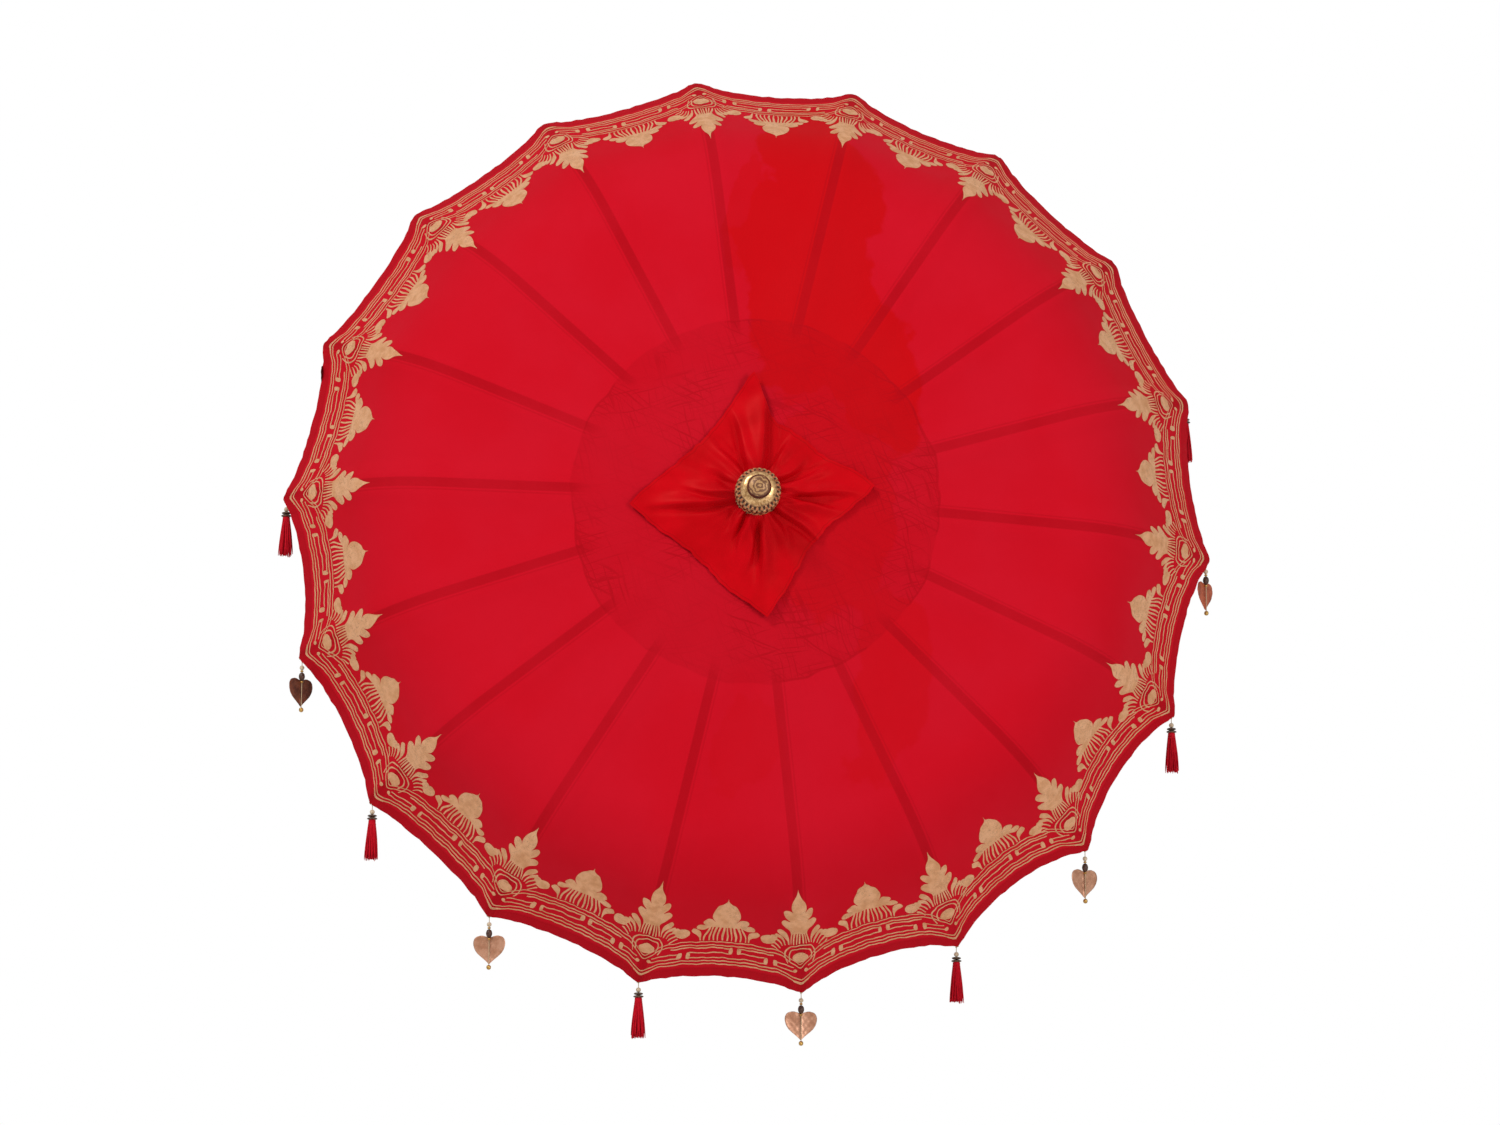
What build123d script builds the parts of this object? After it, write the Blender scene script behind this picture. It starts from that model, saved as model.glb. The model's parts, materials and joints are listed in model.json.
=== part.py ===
"""Folding parasol on a pole: 18 curved ribs, 18 stretchers, a runner, a scalloped
cloth canopy with a square topper, a turned finial, and a charm on every rib tip.

Frame, in mm: the pole lies along Y with its foot's end face at the origin, and the
top of the canopy faces -Y. +Z is up and the charms hang along -Z.

Most pieces are drawn upright, with the pole along Z and the crown pins at height 0,
and are then laid down by TO_ROW. Points there are (radius, height).
"""
import os
from math import atan2, cos, hypot, pi, radians, sin, sqrt, tan

from build123d import *

# ---- driving dimensions ----
N = 18                    # ribs, stretchers and charms
PHASE = 96.7              # azimuth of rib 1 from +X towards +Z, degrees
STEP = 360 / N
R_TIP = 900               # rib tips from the pole's axis
PIVOT_Y = 2260            # crown pins from the foot's end face
R_PIVOT = 40              # crown pins, and stretchers' inner ends, from the axis

SLOPE_IN = 8.6            # fall of a rib's inner straight, degrees
SLOPE_OUT = 54            # fall of its outer straight, degrees
R_BEND = 240              # radius of the bend between them
L_OUT = 235               # length of the outer straight
RIB_W, RIB_H = 9, 8       # rib section
RIB_LIFT = 3              # rib's centreline above the crown pin
TONGUE_W = 5              # width of a rib's narrowed inner end and tip
EYE_L = 18                # length of the narrowed inner end, clear of the crown when folded
TONGUE_L = 20             # length of the narrowed tip
EYE_R = 5.2               # rounded inner end
TIP_HOLE = 6              # thread hole from a rib's end

PIN_D = 2.6
PIN_FIT = 0.2             # added to a pin's diameter where it turns in its hole
LUG_S = 340               # stretcher pin along the rib from the crown pin
LUG_DROP = 10             # stretcher pin below the rib's centreline
STR_W, STR_H = 4.6, 7     # stretcher section
STR_EYE_R = 4.4
SLOT_W = 5.6              # slots in the crown and runner
LUG_SLOT_W = 5.4

POLE_R, POLE_TOP = 17.5, -2
FOOT_R, FOOT_L = 16.5, 300          # turned-down foot
SOCKET_R, SOCKET_L = 9.2, 30        # for the finial's tenon
PEG_R, PEG_DROP = 4, 62             # peg hole, and its distance below the open runner's slots
CROWN_R, CROWN_TOP, CROWN_LOW = 46, 5.5, -14
BOSS_LOW, BOSS_R, BOSS_LOW_R = -30, 31, 26
CROWN_SLOT_R = 33                   # inner end of the crown's slots
RUN_R, RUN_FLANGE_H = 46, 22
RUN_BARREL_R, RUN_BORE_R = 30, 17.6
RUN_UP, RUN_DOWN = 52, 54           # barrel above and below the slots
RUN_SLOT_R = 34

CLOTH_T = 1.2
CLOTH_GAP = 1.0           # cloth's underside above a rib's top
FLAT_R = 52               # flat middle of the cloth
CLOTH_HOLE_R = 9.6
SCALLOP = 23              # hem's hollow past the chord between two tips
TOPPER_HALF = 236         # topper's centre to a corner
TOPPER_TURN = 3.4         # its first corner's azimuth, degrees
FINIAL_R, KNOB_R, FINIAL_H = 42, 22.5, 104
TENON_R, TENON_L = 9, 34
THREAD_R = 0.9

COS_IN, SIN_IN, TAN_IN = cos(radians(SLOPE_IN)), sin(radians(SLOPE_IN)), tan(radians(SLOPE_IN))
COS_OUT, SIN_OUT = cos(radians(SLOPE_OUT)), sin(radians(SLOPE_OUT))
COS_HALF, TAN_HALF = cos(radians(STEP / 2)), tan(radians(STEP / 2))
AZIMUTHS = [PHASE + i * STEP for i in range(N)]
TO_ROW = Pos(0, -PIVOT_Y, 0) * Rot(90, 0, 0)

# ---- a rib's centreline: inner end, bend's start, bend's centre, bend's end, tip ----
RIB_START = (R_PIVOT + RIB_LIFT * SIN_IN, RIB_LIFT * COS_IN)
L_IN = (R_TIP - RIB_START[0] - R_BEND * (SIN_OUT - SIN_IN) - L_OUT * COS_OUT) / COS_IN
BEND_START = (RIB_START[0] + L_IN * COS_IN, RIB_START[1] - L_IN * SIN_IN)
BEND_MID = (BEND_START[0] - R_BEND * SIN_IN, BEND_START[1] - R_BEND * COS_IN)
BEND_END = (BEND_MID[0] + R_BEND * SIN_OUT, BEND_MID[1] + R_BEND * COS_OUT)
TIP = (BEND_END[0] + L_OUT * COS_OUT, BEND_END[1] - L_OUT * SIN_OUT)
HOLE = (TIP[0] - TIP_HOLE * COS_OUT, TIP[1] + TIP_HOLE * SIN_OUT)


def along_rib(s, lift):
    """The point s out along the inner straight and lift above the crown pin's line."""
    return (R_PIVOT + s * COS_IN + lift * SIN_IN, -s * SIN_IN + lift * COS_IN)


LUG = along_rib(LUG_S, RIB_LIFT - LUG_DROP)
RUN_H = 2 * LUG[1]                  # the stretcher is as long as crown pin to lug
INNER_END = (R_PIVOT, RUN_H)


def on_bend(degrees_down, d):
    """The point d outside the bend where the rib falls at that angle."""
    a = radians(degrees_down)
    return (BEND_MID[0] + (R_BEND + d) * sin(a), BEND_MID[1] + (R_BEND + d) * cos(a))


def plate(points, width):
    """An outline in the XZ plane, extruded to both sides of it."""
    return extrude(Plane.XZ * make_face(Polyline(*points, close=True)), width / 2, both=True)


def cross_pin(at, diameter, length):
    """A cylinder across the rib's plane."""
    return Pos(at[0], 0, at[1]) * Rot(90, 0, 0) * Cylinder(diameter / 2, length)


def rib_outline():
    """The rib's side view, as one face."""
    h = RIB_H / 2
    middle = (SLOPE_IN + SLOPE_OUT) / 2
    rows = []
    for d in (h, -h):
        start = (RIB_START[0] + d * SIN_IN, RIB_START[1] + d * COS_IN)
        end = (TIP[0] + d * SIN_OUT, TIP[1] + d * COS_OUT)
        rows.append((start, on_bend(SLOPE_IN, d), on_bend(middle, d), on_bend(SLOPE_OUT, d), end))
    edges = []
    for start, a, b, c, end in rows:
        edges += [Line(start, a).edge(), ThreePointArc(a, b, c).edge(), Line(c, end).edge()]
    edges += [Line(rows[0][0], rows[1][0]).edge(), Line(rows[0][4], rows[1][4]).edge()]
    return Plane.XZ * make_face(edges)


def tongue_cut(at, ux, uz, length):
    """What is cut from both cheeks of the bar, for a length each way along (ux, uz)."""
    deep, wide = 14, 20
    corners = [(at[0] + a * length * ux - b * deep * uz, at[1] + a * length * uz + b * deep * ux)
               for a, b in ((-1, -1), (1, -1), (1, 1), (-1, 1))]
    return plate(corners, wide) - plate(corners, TONGUE_W)


def make_rib():
    """The bar with its lug, the crown pin and the stretcher pin."""
    bar = extrude(rib_outline(), RIB_W / 2, both=True)
    bar -= tongue_cut(RIB_START, COS_IN, -SIN_IN, EYE_L)
    bar -= tongue_cut(TIP, COS_OUT, -SIN_OUT, TONGUE_L)
    bar += cross_pin((R_PIVOT, 0), 2 * EYE_R, TONGUE_W)
    foot = RIB_LIFT - LUG_DROP - 6
    bottom = RIB_LIFT - RIB_H / 2
    lug = plate([along_rib(LUG_S - 12, RIB_LIFT), along_rib(LUG_S + 12, RIB_LIFT),
                 along_rib(LUG_S + 7, foot), along_rib(LUG_S - 7, foot)], RIB_W)
    lug -= plate([along_rib(LUG_S - 20, bottom), along_rib(LUG_S + 20, bottom),
                  along_rib(LUG_S + 20, foot - 6), along_rib(LUG_S - 20, foot - 6)], LUG_SLOT_W)
    bar += lug
    bar -= Pos(R_PIVOT, 0, CROWN_TOP + 10) * Box(60, 30, 20)      # clears the cloth
    for at in ((R_PIVOT, 0), LUG, HOLE):
        bar -= cross_pin(at, PIN_D, 20)
    return [bar, cross_pin((R_PIVOT, 0), PIN_D, SLOT_W + 4.6), cross_pin(LUG, PIN_D, RIB_W)]


def make_stretcher():
    """A flat bar with round ends, from the rib's lug in to the runner."""
    length = hypot(LUG[0] - INNER_END[0], LUG[1] - INNER_END[1])
    nx = (LUG[1] - INNER_END[1]) / length * STR_H / 2
    nz = (LUG[0] - INNER_END[0]) / length * STR_H / 2
    bar = plate([(LUG[0] - nx, LUG[1] + nz), (INNER_END[0] - nx, INNER_END[1] + nz),
                 (INNER_END[0] + nx, INNER_END[1] - nz), (LUG[0] + nx, LUG[1] - nz)], STR_W)
    for at, hole in ((LUG, PIN_D + PIN_FIT), (INNER_END, PIN_D)):
        bar += cross_pin(at, 2 * STR_EYE_R, STR_W)
        bar -= cross_pin(at, hole, 20)
    return [bar]


def disc(radius, low, high):
    """A cylinder on the pole's axis between two heights."""
    return Pos(0, 0, (low + high) / 2) * Cylinder(radius, high - low)


def slots(inner_r, height):
    """18 radial slots open at top, bottom and outside."""
    length = 30
    return [Rot(0, 0, a) * Pos(inner_r + length / 2, 0, height) * Box(length, SLOT_W, 60) for a in AZIMUTHS]


def make_crown():
    """Turned hub with a slot for each rib, bored for the pole and the finial's tenon."""
    hub = disc(CROWN_R, CROWN_LOW, CROWN_TOP)
    hub += Pos(0, 0, (BOSS_LOW + CROWN_LOW) / 2) * Cone(BOSS_LOW_R, BOSS_R, CROWN_LOW - BOSS_LOW)
    hub -= disc(POLE_R + 0.1, BOSS_LOW - 5, POLE_TOP)
    hub -= disc(SOCKET_R, POLE_TOP - 5, CROWN_TOP + 5)
    for slot, a in zip(slots(CROWN_SLOT_R, 0), AZIMUTHS):
        hub -= slot
        hub -= Rot(0, 0, a) * cross_pin((R_PIVOT, 0), PIN_D + PIN_FIT, SLOT_W + 5)
    return [hub]


def make_pole():
    """The pole, with a turned-down foot, a socket in its top and a peg hole."""
    pole = disc(POLE_R, FOOT_L - PIVOT_Y, POLE_TOP) + disc(FOOT_R, -PIVOT_Y, FOOT_L - PIVOT_Y)
    pole -= disc(SOCKET_R, POLE_TOP - SOCKET_L, POLE_TOP)
    pole -= Pos(0, 0, RUN_H - PEG_DROP) * Rot(0, 90, 0) * Cylinder(PEG_R, 3 * POLE_R)
    return [pole]


def make_runner():
    """Turned slide: a slotted flange on a barrel with two turned grooves."""
    top, low = RUN_H + RUN_UP, RUN_H - RUN_DOWN
    slide = disc(RUN_BARREL_R, low, top) + disc(RUN_R, RUN_H - RUN_FLANGE_H / 2, RUN_H + RUN_FLANGE_H / 2)
    for slot in slots(RUN_SLOT_R, RUN_H):
        slide -= slot
    for h, deep in ((top - 6, 1.5), (low + 9, 2)):
        slide -= disc(RUN_BARREL_R + 1, h - 1.5, h + 1.5) - disc(RUN_BARREL_R - deep, h - 1.5, h + 1.5)
    slide -= disc(RUN_BORE_R, low - 5, top + 5)
    return [slide]


def make_finial():
    """Turned body, domed shoulder, neck and knob, on a tenon that goes through the cloths."""
    base = CROWN_TOP + 0.5 + 2 * CLOTH_T + 0.6
    with BuildPart() as turned_part:
        with BuildSketch(Plane.XZ):
            with BuildLine():
                Polyline((0, 0), (37, 0), (41, 3), (41, 9), (38, 12))
                Spline((38, 12), (41, 22), (FINIAL_R, 36), (40.5, 54), (35.5, 66))
                Line((35.5, 66), (34.5, 68))
                Spline((34.5, 68), (28, 73.5), (19, 76))
                Polyline((19, 76), (16, 75), (15.5, 79), (18, 82))
                Spline((18, 82), (KNOB_R, 90), (19.5, 98), (10, 103), (0, FINIAL_H),
                       tangents=[(0.6, 0.5), (-1, 0)])
                Line((0, FINIAL_H), (0, 0))
            make_face()
        revolve(axis=Axis.Z)
    return [Pos(0, 0, base) * turned_part.part + disc(TENON_R, base - TENON_L, base)]


def cloth_line(d):
    """The cloth's profile over a rib, d above the rib's centreline."""
    segments = 12
    line = [on_bend(SLOPE_IN + (SLOPE_OUT - SLOPE_IN) * k / segments, d) for k in range(segments + 1)]
    reach = 12
    end = (TIP[0] + d * SIN_OUT + reach * COS_OUT, TIP[1] + d * COS_OUT - reach * SIN_OUT)
    flat_h = line[0][1] + (line[0][0] - FLAT_R) * TAN_IN
    return [(8, flat_h), (FLAT_R, flat_h)] + line + [end]


def make_canopy():
    """18 gores, straight across from rib to rib and mitred over the ribs, with a scalloped hem."""
    under = RIB_H / 2 + CLOTH_GAP
    outline = cloth_line(under) + cloth_line(under + CLOTH_T)[::-1]
    gore = plate([(r * COS_HALF, h) for r, h in outline], 360)
    reach = 1200
    corners = [(0, 0), (reach, reach * TAN_HALF), (reach, -reach * TAN_HALF)]
    gore &= Pos(0, 0, -500) * extrude(make_face(Polyline(*corners, close=True)), 1000)
    half_chord = R_TIP * sin(radians(STEP / 2))
    hem_r = (half_chord**2 + SCALLOP**2) / (2 * SCALLOP)
    gore -= Pos(R_TIP * COS_HALF - SCALLOP + hem_r, 0, -300) * Cylinder(hem_r, 900)
    gores = [Rot(0, 0, a + STEP / 2) * gore for a in AZIMUTHS]
    return [gores[0].fuse(*gores[1:]) - disc(CLOTH_HOLE_R, -50, 50)]


def make_topper():
    """A square of cloth laid over the canopy's middle."""
    low = cloth_line(RIB_H / 2 + CLOTH_GAP + CLOTH_T)[1][1] + 0.15
    drop = (TOPPER_HALF - FLAT_R) * TAN_IN
    line = [(CLOTH_HOLE_R, low), (FLAT_R, low), (TOPPER_HALF, low - drop)]
    outline = Polyline(*line, *[(r, h + CLOTH_T) for r, h in line[::-1]], close=True)
    sheet = revolve(Plane.XZ * make_face(outline), Axis.Z)
    side = TOPPER_HALF * sqrt(2)
    return [sheet & Rot(0, 0, TOPPER_TURN + 45) * Box(side, side, 200)]


# ---- charms, drawn in the row's directions with the rib's thread hole at the origin ----
def turned(points):
    """A closed outline of (radius, height) revolved about the thread."""
    return revolve(Plane.XZ * make_face(Polyline(*points, close=True)), Axis.Z)


def bead(radius, height, middle):
    """A round or flattened bead, bored for the thread."""
    steps = 10
    angles = [pi * k / steps for k in range(1, steps)]
    outline = [(radius * sin(a), middle - height / 2 * cos(a)) for a in angles]
    return turned([(THREAD_R, outline[0][1])] + outline + [(THREAD_R, outline[-1][1])])


def thread(azimuth, low):
    """Cotton thread: knotted above the rib's hole, through it, then straight down."""
    a = radians(azimuth)
    down = Vector(-sin(a), 0, cos(a))
    if down.Z > 0:
        down = -down
    span = TONGUE_W / 2 + 1.6
    points = [down * -span, down * span, Vector(0, 0, -16), Vector(0, 0, low)]
    made = Pos(*points[0]) * Sphere(2 * THREAD_R)
    for p, q in zip(points, points[1:]):
        made += extrude(Plane(origin=p, z_dir=q - p) * Circle(THREAD_R), (q - p).length)
    for p in points[1:3]:
        made += Pos(*p) * Sphere(THREAD_R)
    return made


def make_tassel(azimuth):
    """Cream bead, two dark rings and a flared yarn skirt."""
    skirt = turned([(THREAD_R, -36), (7, -37), (8.2, -41), (8, -47), (9.5, -60), (12.5, -84), (15, -112),
                    (THREAD_R, -113)])
    return [thread(azimuth, -113), bead(4.8, 9, -20.5), bead(9, 5.2, -27.8), bead(10, 5.2, -33.2), skirt]


def heart_plate():
    """Sheet heart 64 wide and 58 high, its top notch at height 0, behind the thread."""
    curves = [[(0, -9), (4, 0), (18, 1.5), (26, -3)], [(26, -3), (36, -9), (33, -26), (24, -36)],
              [(24, -36), (16, -44), (6, -50), (0, -58)]]
    right = [Bezier(*c) @ (k / 8) for c in curves for k in range(8)]
    right = [(p.X, p.Y) for p in right]
    outline = right + [(0, -58)] + [(-x, z) for x, z in right[:0:-1]]
    sheet_t = 1.2
    return Pos(0, THREAD_R + sheet_t / 2, 0) * plate(outline, sheet_t)


def make_heart(azimuth):
    """Pale bead, dark oval bead, two gold beads, copper heart and a gold end bead."""
    return [thread(azimuth, -107), bead(4.6, 8.6, -20.8), bead(3, 4.2, -27.6), bead(6, 16, -38),
            bead(3, 4.2, -48.4), bead(4.5, 9, -102.5), Pos(0, 0, -41) * heart_plate()]


def save(name, place, solids):
    """Writes one node, its solids moved to their place in the row."""
    placed = [s for piece in solids for s in (place * piece).solids()]
    export_step(Compound(children=placed), f"parts/{name}.step")


os.makedirs("parts", exist_ok=True)
for name, maker in (("pole", make_pole), ("crown", make_crown), ("runner", make_runner),
                    ("finial", make_finial), ("canopy", make_canopy), ("topper", make_topper)):
    save(name, TO_ROW, maker())
rib, stretcher = make_rib(), make_stretcher()
for i, azimuth in enumerate(AZIMUTHS):
    place = TO_ROW * Rot(0, 0, azimuth)
    save(f"rib_{i + 1:02d}", place, rib)
    save(f"stretcher_{i + 1:02d}", place, stretcher)
    kind, maker = ("tassel", make_tassel) if i % 2 == 0 else ("heart", make_heart)
    a = radians(azimuth)
    hole = Pos(HOLE[0] * cos(a), -PIVOT_Y - HOLE[1], HOLE[0] * sin(a))
    save(f"{kind}_{i + 1:02d}", hole, maker(azimuth))
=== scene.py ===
"""Looks of the folding parasol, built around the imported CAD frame.

Metres, in the CAD's frame: the pole lies along Y from its foot at the origin, the top
of the canopy faces -Y, +Z is up and the charms hang along -Z. Points on the canopy are
worked out in (s, turn): s is the distance from the pole's axis along the cloth over a
rib, and turn counts ribs, so turn 3.0 is rib 4's line and 3.5 is half way to the next.
"""
import json
import random
from math import atan2, cos, exp, hypot, pi, radians, sin, sqrt, tan

import bpy
import bmesh
import numpy as np
from mathutils import Matrix, Vector


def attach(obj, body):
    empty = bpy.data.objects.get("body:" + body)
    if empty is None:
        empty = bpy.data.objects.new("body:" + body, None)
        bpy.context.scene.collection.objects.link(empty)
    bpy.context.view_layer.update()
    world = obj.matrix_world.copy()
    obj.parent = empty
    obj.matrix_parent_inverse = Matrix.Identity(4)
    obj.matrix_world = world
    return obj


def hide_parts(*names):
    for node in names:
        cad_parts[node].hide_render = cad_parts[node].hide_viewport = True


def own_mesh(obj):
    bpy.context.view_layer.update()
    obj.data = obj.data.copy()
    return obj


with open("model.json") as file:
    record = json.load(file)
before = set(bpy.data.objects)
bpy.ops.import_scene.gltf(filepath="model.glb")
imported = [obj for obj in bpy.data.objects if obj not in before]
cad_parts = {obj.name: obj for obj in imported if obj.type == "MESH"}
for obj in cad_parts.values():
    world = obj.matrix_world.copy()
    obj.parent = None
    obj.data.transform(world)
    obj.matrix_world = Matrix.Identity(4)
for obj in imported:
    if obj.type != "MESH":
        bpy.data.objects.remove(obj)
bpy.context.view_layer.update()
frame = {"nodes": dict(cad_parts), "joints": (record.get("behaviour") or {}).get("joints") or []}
JOINTS = {j["name"]: j for j in frame["joints"]}

# ---- driving dimensions, as in the CAD ----
N = 18
STEP = radians(360 / N)
HALF = STEP / 2
HINGE_1 = JOINTS["rib_01_hinge"]
PHASE = atan2(-HINGE_1["axis"][0], HINGE_1["axis"][2])
PIVOT_Y = -HINGE_1["pos_m"][1]
R_PIVOT = hypot(HINGE_1["pos_m"][0], HINGE_1["pos_m"][2])
R_TIP = 0.9
SLOPE_IN, SLOPE_OUT = radians(8.6), radians(54)
R_BEND, L_OUT = 0.24, 0.235
RIB_LIFT = 0.003
FLAT_R = 0.052
# depth of each scallop of the hem, from the gore between ribs 1 and 2 round; uneven in the looks only
SCALLOPS = (0.014, 0.012, 0.012, 0.015, 0.021, 0.015, 0.010, 0.013, 0.014, 0.020, 0.026, 0.027, 0.021,
            0.016, 0.012, 0.014, 0.020, 0.023)
# the topper's corners: distance from the axis and azimuth in degrees
TOPPER_CORNERS = ((0.221, 6.4), (0.235, 91.3), (0.236, 183.4), (0.225, 275.2))

CLOTH_T = 0.0009          # canopy cloth
CLOTH_LIFT = 0.0058       # its middle above a rib's centreline
CENTRE_R = 0.0345         # panels and topper sectors start here, under the finial
DISC_R = 0.345            # doubled gauze in the middle of the canopy
PAINT_LIFT = 0.00028      # gold paint above the cloth
LAYER_LIFT = 0.00006      # and each layer of it above the last
TENON_HOLE_R = 0.0096     # hole in the still middles of both cloths
FINIAL_LOW = 0.009        # the finial's foot above the crown's pins
THREAD_PITCH = 0.0009     # of the canopy's weave
MEAN_HEM = 0.012          # about how far the hem lies inside the tips' line, on average
SEED = 18
rng = random.Random(SEED)
LAP = 2 * pi / N          # waves that count whole turns round the canopy meet themselves


def rib_body(i):
    return f"rib_{i + 1:02d}"


# ---- the cloth's line over a rib ----
def meridian_corners():
    """Bend's centre and radius, flat middle's height, and s at the bend's start, its end and the tip."""
    start = (R_PIVOT + RIB_LIFT * sin(SLOPE_IN), RIB_LIFT * cos(SLOPE_IN))
    rise = sin(SLOPE_OUT) - sin(SLOPE_IN)
    inner = (R_TIP - start[0] - R_BEND * rise - L_OUT * cos(SLOPE_OUT)) / cos(SLOPE_IN)
    middle = (start[0] + inner * cos(SLOPE_IN) - R_BEND * sin(SLOPE_IN),
              start[1] - inner * sin(SLOPE_IN) - R_BEND * cos(SLOPE_IN))
    radius = R_BEND + CLOTH_LIFT
    bend_r = middle[0] + radius * sin(SLOPE_IN)
    bend_h = middle[1] + radius * cos(SLOPE_IN)
    flat_h = bend_h + (bend_r - FLAT_R) * tan(SLOPE_IN)
    s_bend = FLAT_R + (bend_r - FLAT_R) / cos(SLOPE_IN)
    s_out = s_bend + radius * (SLOPE_OUT - SLOPE_IN)
    out_r = middle[0] + radius * sin(SLOPE_OUT)
    s_tip = s_out + (R_TIP - out_r) / cos(SLOPE_OUT)
    return middle, radius, flat_h, s_bend, s_out, s_tip


BEND_MID, BEND_R, FLAT_H, S_BEND, S_OUT, S_TIP = meridian_corners()


def meridian(s):
    """Radius, height and slope of the cloth over a rib, for an array of s."""
    bend_start = (BEND_MID[0] + BEND_R * sin(SLOPE_IN), BEND_MID[1] + BEND_R * cos(SLOPE_IN))
    bend_end = (BEND_MID[0] + BEND_R * sin(SLOPE_OUT), BEND_MID[1] + BEND_R * cos(SLOPE_OUT))
    angle = SLOPE_IN + (s - S_BEND) / BEND_R
    cases = [s < FLAT_R, s < S_BEND, s < S_OUT]
    r = np.select(cases, [s, bend_start[0] - (S_BEND - s) * cos(SLOPE_IN),
                          BEND_MID[0] + BEND_R * np.sin(angle)], bend_end[0] + (s - S_OUT) * cos(SLOPE_OUT))
    h = np.select(cases, [FLAT_H + 0 * s, bend_start[1] + (S_BEND - s) * sin(SLOPE_IN),
                          BEND_MID[1] + BEND_R * np.cos(angle)], bend_end[1] - (s - S_OUT) * sin(SLOPE_OUT))
    slope = np.select(cases, [0 * s, SLOPE_IN + 0 * s, angle], SLOPE_OUT)
    return r, h, slope


def smooth_step(x, low, high):
    t = np.clip((x - low) / (high - low), 0, 1)
    return t * t * (3 - 2 * t)


def hem_s(turn):
    """Where the scalloped hem lies, for an array of turns."""
    across = np.abs(turn - np.floor(turn + 0.5)) * 2
    half_chord = R_TIP * sin(HALF)
    depth = np.array(SCALLOPS)[np.floor(turn).astype(int) % N]
    hem_r = (half_chord**2 + depth**2) / (2 * depth)
    r = np.full_like(turn, R_TIP)
    for _ in range(6):
        v = (1 - across) * r * sin(HALF)
        r = (R_TIP * cos(HALF) - depth + hem_r - np.sqrt(hem_r**2 - v**2)) / cos(HALF)
    wobble = 0.0008 * np.sin(2 * pi * turn * 5.5 + 2 * np.sin(5 * LAP * turn)) * np.minimum(1, across * 6)
    tip = 0.0045 * np.exp(-(across * half_chord / 0.007)**2)
    return S_TIP - (R_TIP - r) / cos(SLOPE_OUT) + wobble + tip - 0.002


def cloth_ripple(s, turn, points):
    """How far the cloth stands off its smooth shape: soft waves, and puckers at the hem."""
    x, z = points[..., 0], points[..., 2]
    waves = (np.sin(9 * x + 4 * z + 1.3) * np.sin(7 * z - 5 * x + 0.4)
             + 0.6 * np.sin(17 * x - 11 * z + 2.1) * np.sin(13 * x + 19 * z))
    soft = 0.0011 * waves * smooth_step(s, 0.25, 0.5)
    depth = hem_s(turn) - s
    puckers = np.sin(2 * pi * turn * 19 + 2.4 * np.sin(2 * pi * turn * 3 + 2 * LAP * turn)) \
        + 0.6 * np.sin(2 * pi * turn * 34 + 1.9 * np.sin(2 * pi * turn * 5))
    hem = 0.0007 * puckers * np.exp(-np.maximum(depth, 0) / 0.018)
    across = np.abs(turn - np.floor(turn + 0.5)) * 2
    pull = 0.0016 * np.exp(-np.maximum(depth, 0) / 0.12) * np.sin(across * 22) * np.exp(-across * 4)
    ripple = soft + hem + pull
    from_rib = across * s * sin(HALF)
    return np.where(ripple < 0, ripple * smooth_step(from_rib, 0.008, 0.05), ripple)


RIB_ROUND = 0.008         # half width of the rounded fold over a rib
SAG = 0.0035              # the cloth's hollow between two ribs
POCKET = 0.013            # half width of the strip that lies flat over a rib
STAND_OFF = 0.0011        # how much further it stands from the rib than in the middle


def smooth_cloth(s, turn):
    """Points of the cloth's middle, without ripples."""
    rib = np.floor(turn + 0.5)
    across = 2 * (turn - rib)
    side = np.where(across >= 0, 1.0, -1.0)
    across = np.abs(across)
    r, h, slope = meridian(s)
    u, v = r * cos(HALF), (1 - across) * r * sin(HALF)
    from_rib = across * r * sin(HALF)
    sag = SAG * (1 - (1 - across)**2) * smooth_step(s, 0.15, 0.5) * smooth_step(from_rib, 0.010, 0.05)
    # the cloth stands off the rib and stays flat over it, so that it still covers the rib when squeezed
    over = np.where(from_rib < POCKET, from_rib, POCKET * (1 - smooth_step(from_rib, POCKET, 3.5 * POCKET)))
    sag = sag - smooth_step(s, 0.05, 0.12) * (STAND_OFF + over * tan(HALF) * np.sin(slope))
    gore_slope = np.arctan(np.tan(slope) / cos(HALF))
    u = u - sag * np.sin(gore_slope)
    h = h - sag * np.cos(gore_slope)
    middle = PHASE + rib * STEP + side * HALF
    x = u * np.cos(middle) + side * v * np.sin(middle)
    z = u * np.sin(middle) - side * v * np.cos(middle)
    near = np.maximum(0, RIB_ROUND - across * r * sin(HALF))
    shrink = 1 - 0.5 * tan(HALF) * near**2 / RIB_ROUND / np.maximum(r, 0.02)
    return np.stack([x * shrink, -PIVOT_Y - h, z * shrink], -1)


def cross_normal(place, s, turn, ds=0.0015, dt=0.006):
    """Unit normals of a surface place(s, turn), pointing away from the pole's foot."""
    along = place(s + ds, turn) - place(s - ds, turn)
    round_it = place(s, turn + dt) - place(s, turn - dt)
    n = np.cross(along, round_it)
    n /= np.linalg.norm(n, axis=-1, keepdims=True)
    return np.where(n[..., 1:2] > 0, -n, n)


def outward(slope, azimuth):
    """Unit vectors square to the cloth's line over a rib, for arrays of slope and azimuth."""
    return np.stack([np.sin(slope) * np.cos(azimuth), -np.cos(slope), np.sin(slope) * np.sin(azimuth)], -1)


def rippled_cloth(s, turn):
    points = smooth_cloth(s, turn)
    ripple = cloth_ripple(s, turn, points)
    _, _, slope = meridian(s)
    azimuth = np.arctan2(points[..., 2], points[..., 0])
    return points + outward(slope, azimuth) * ripple[..., None]


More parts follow.
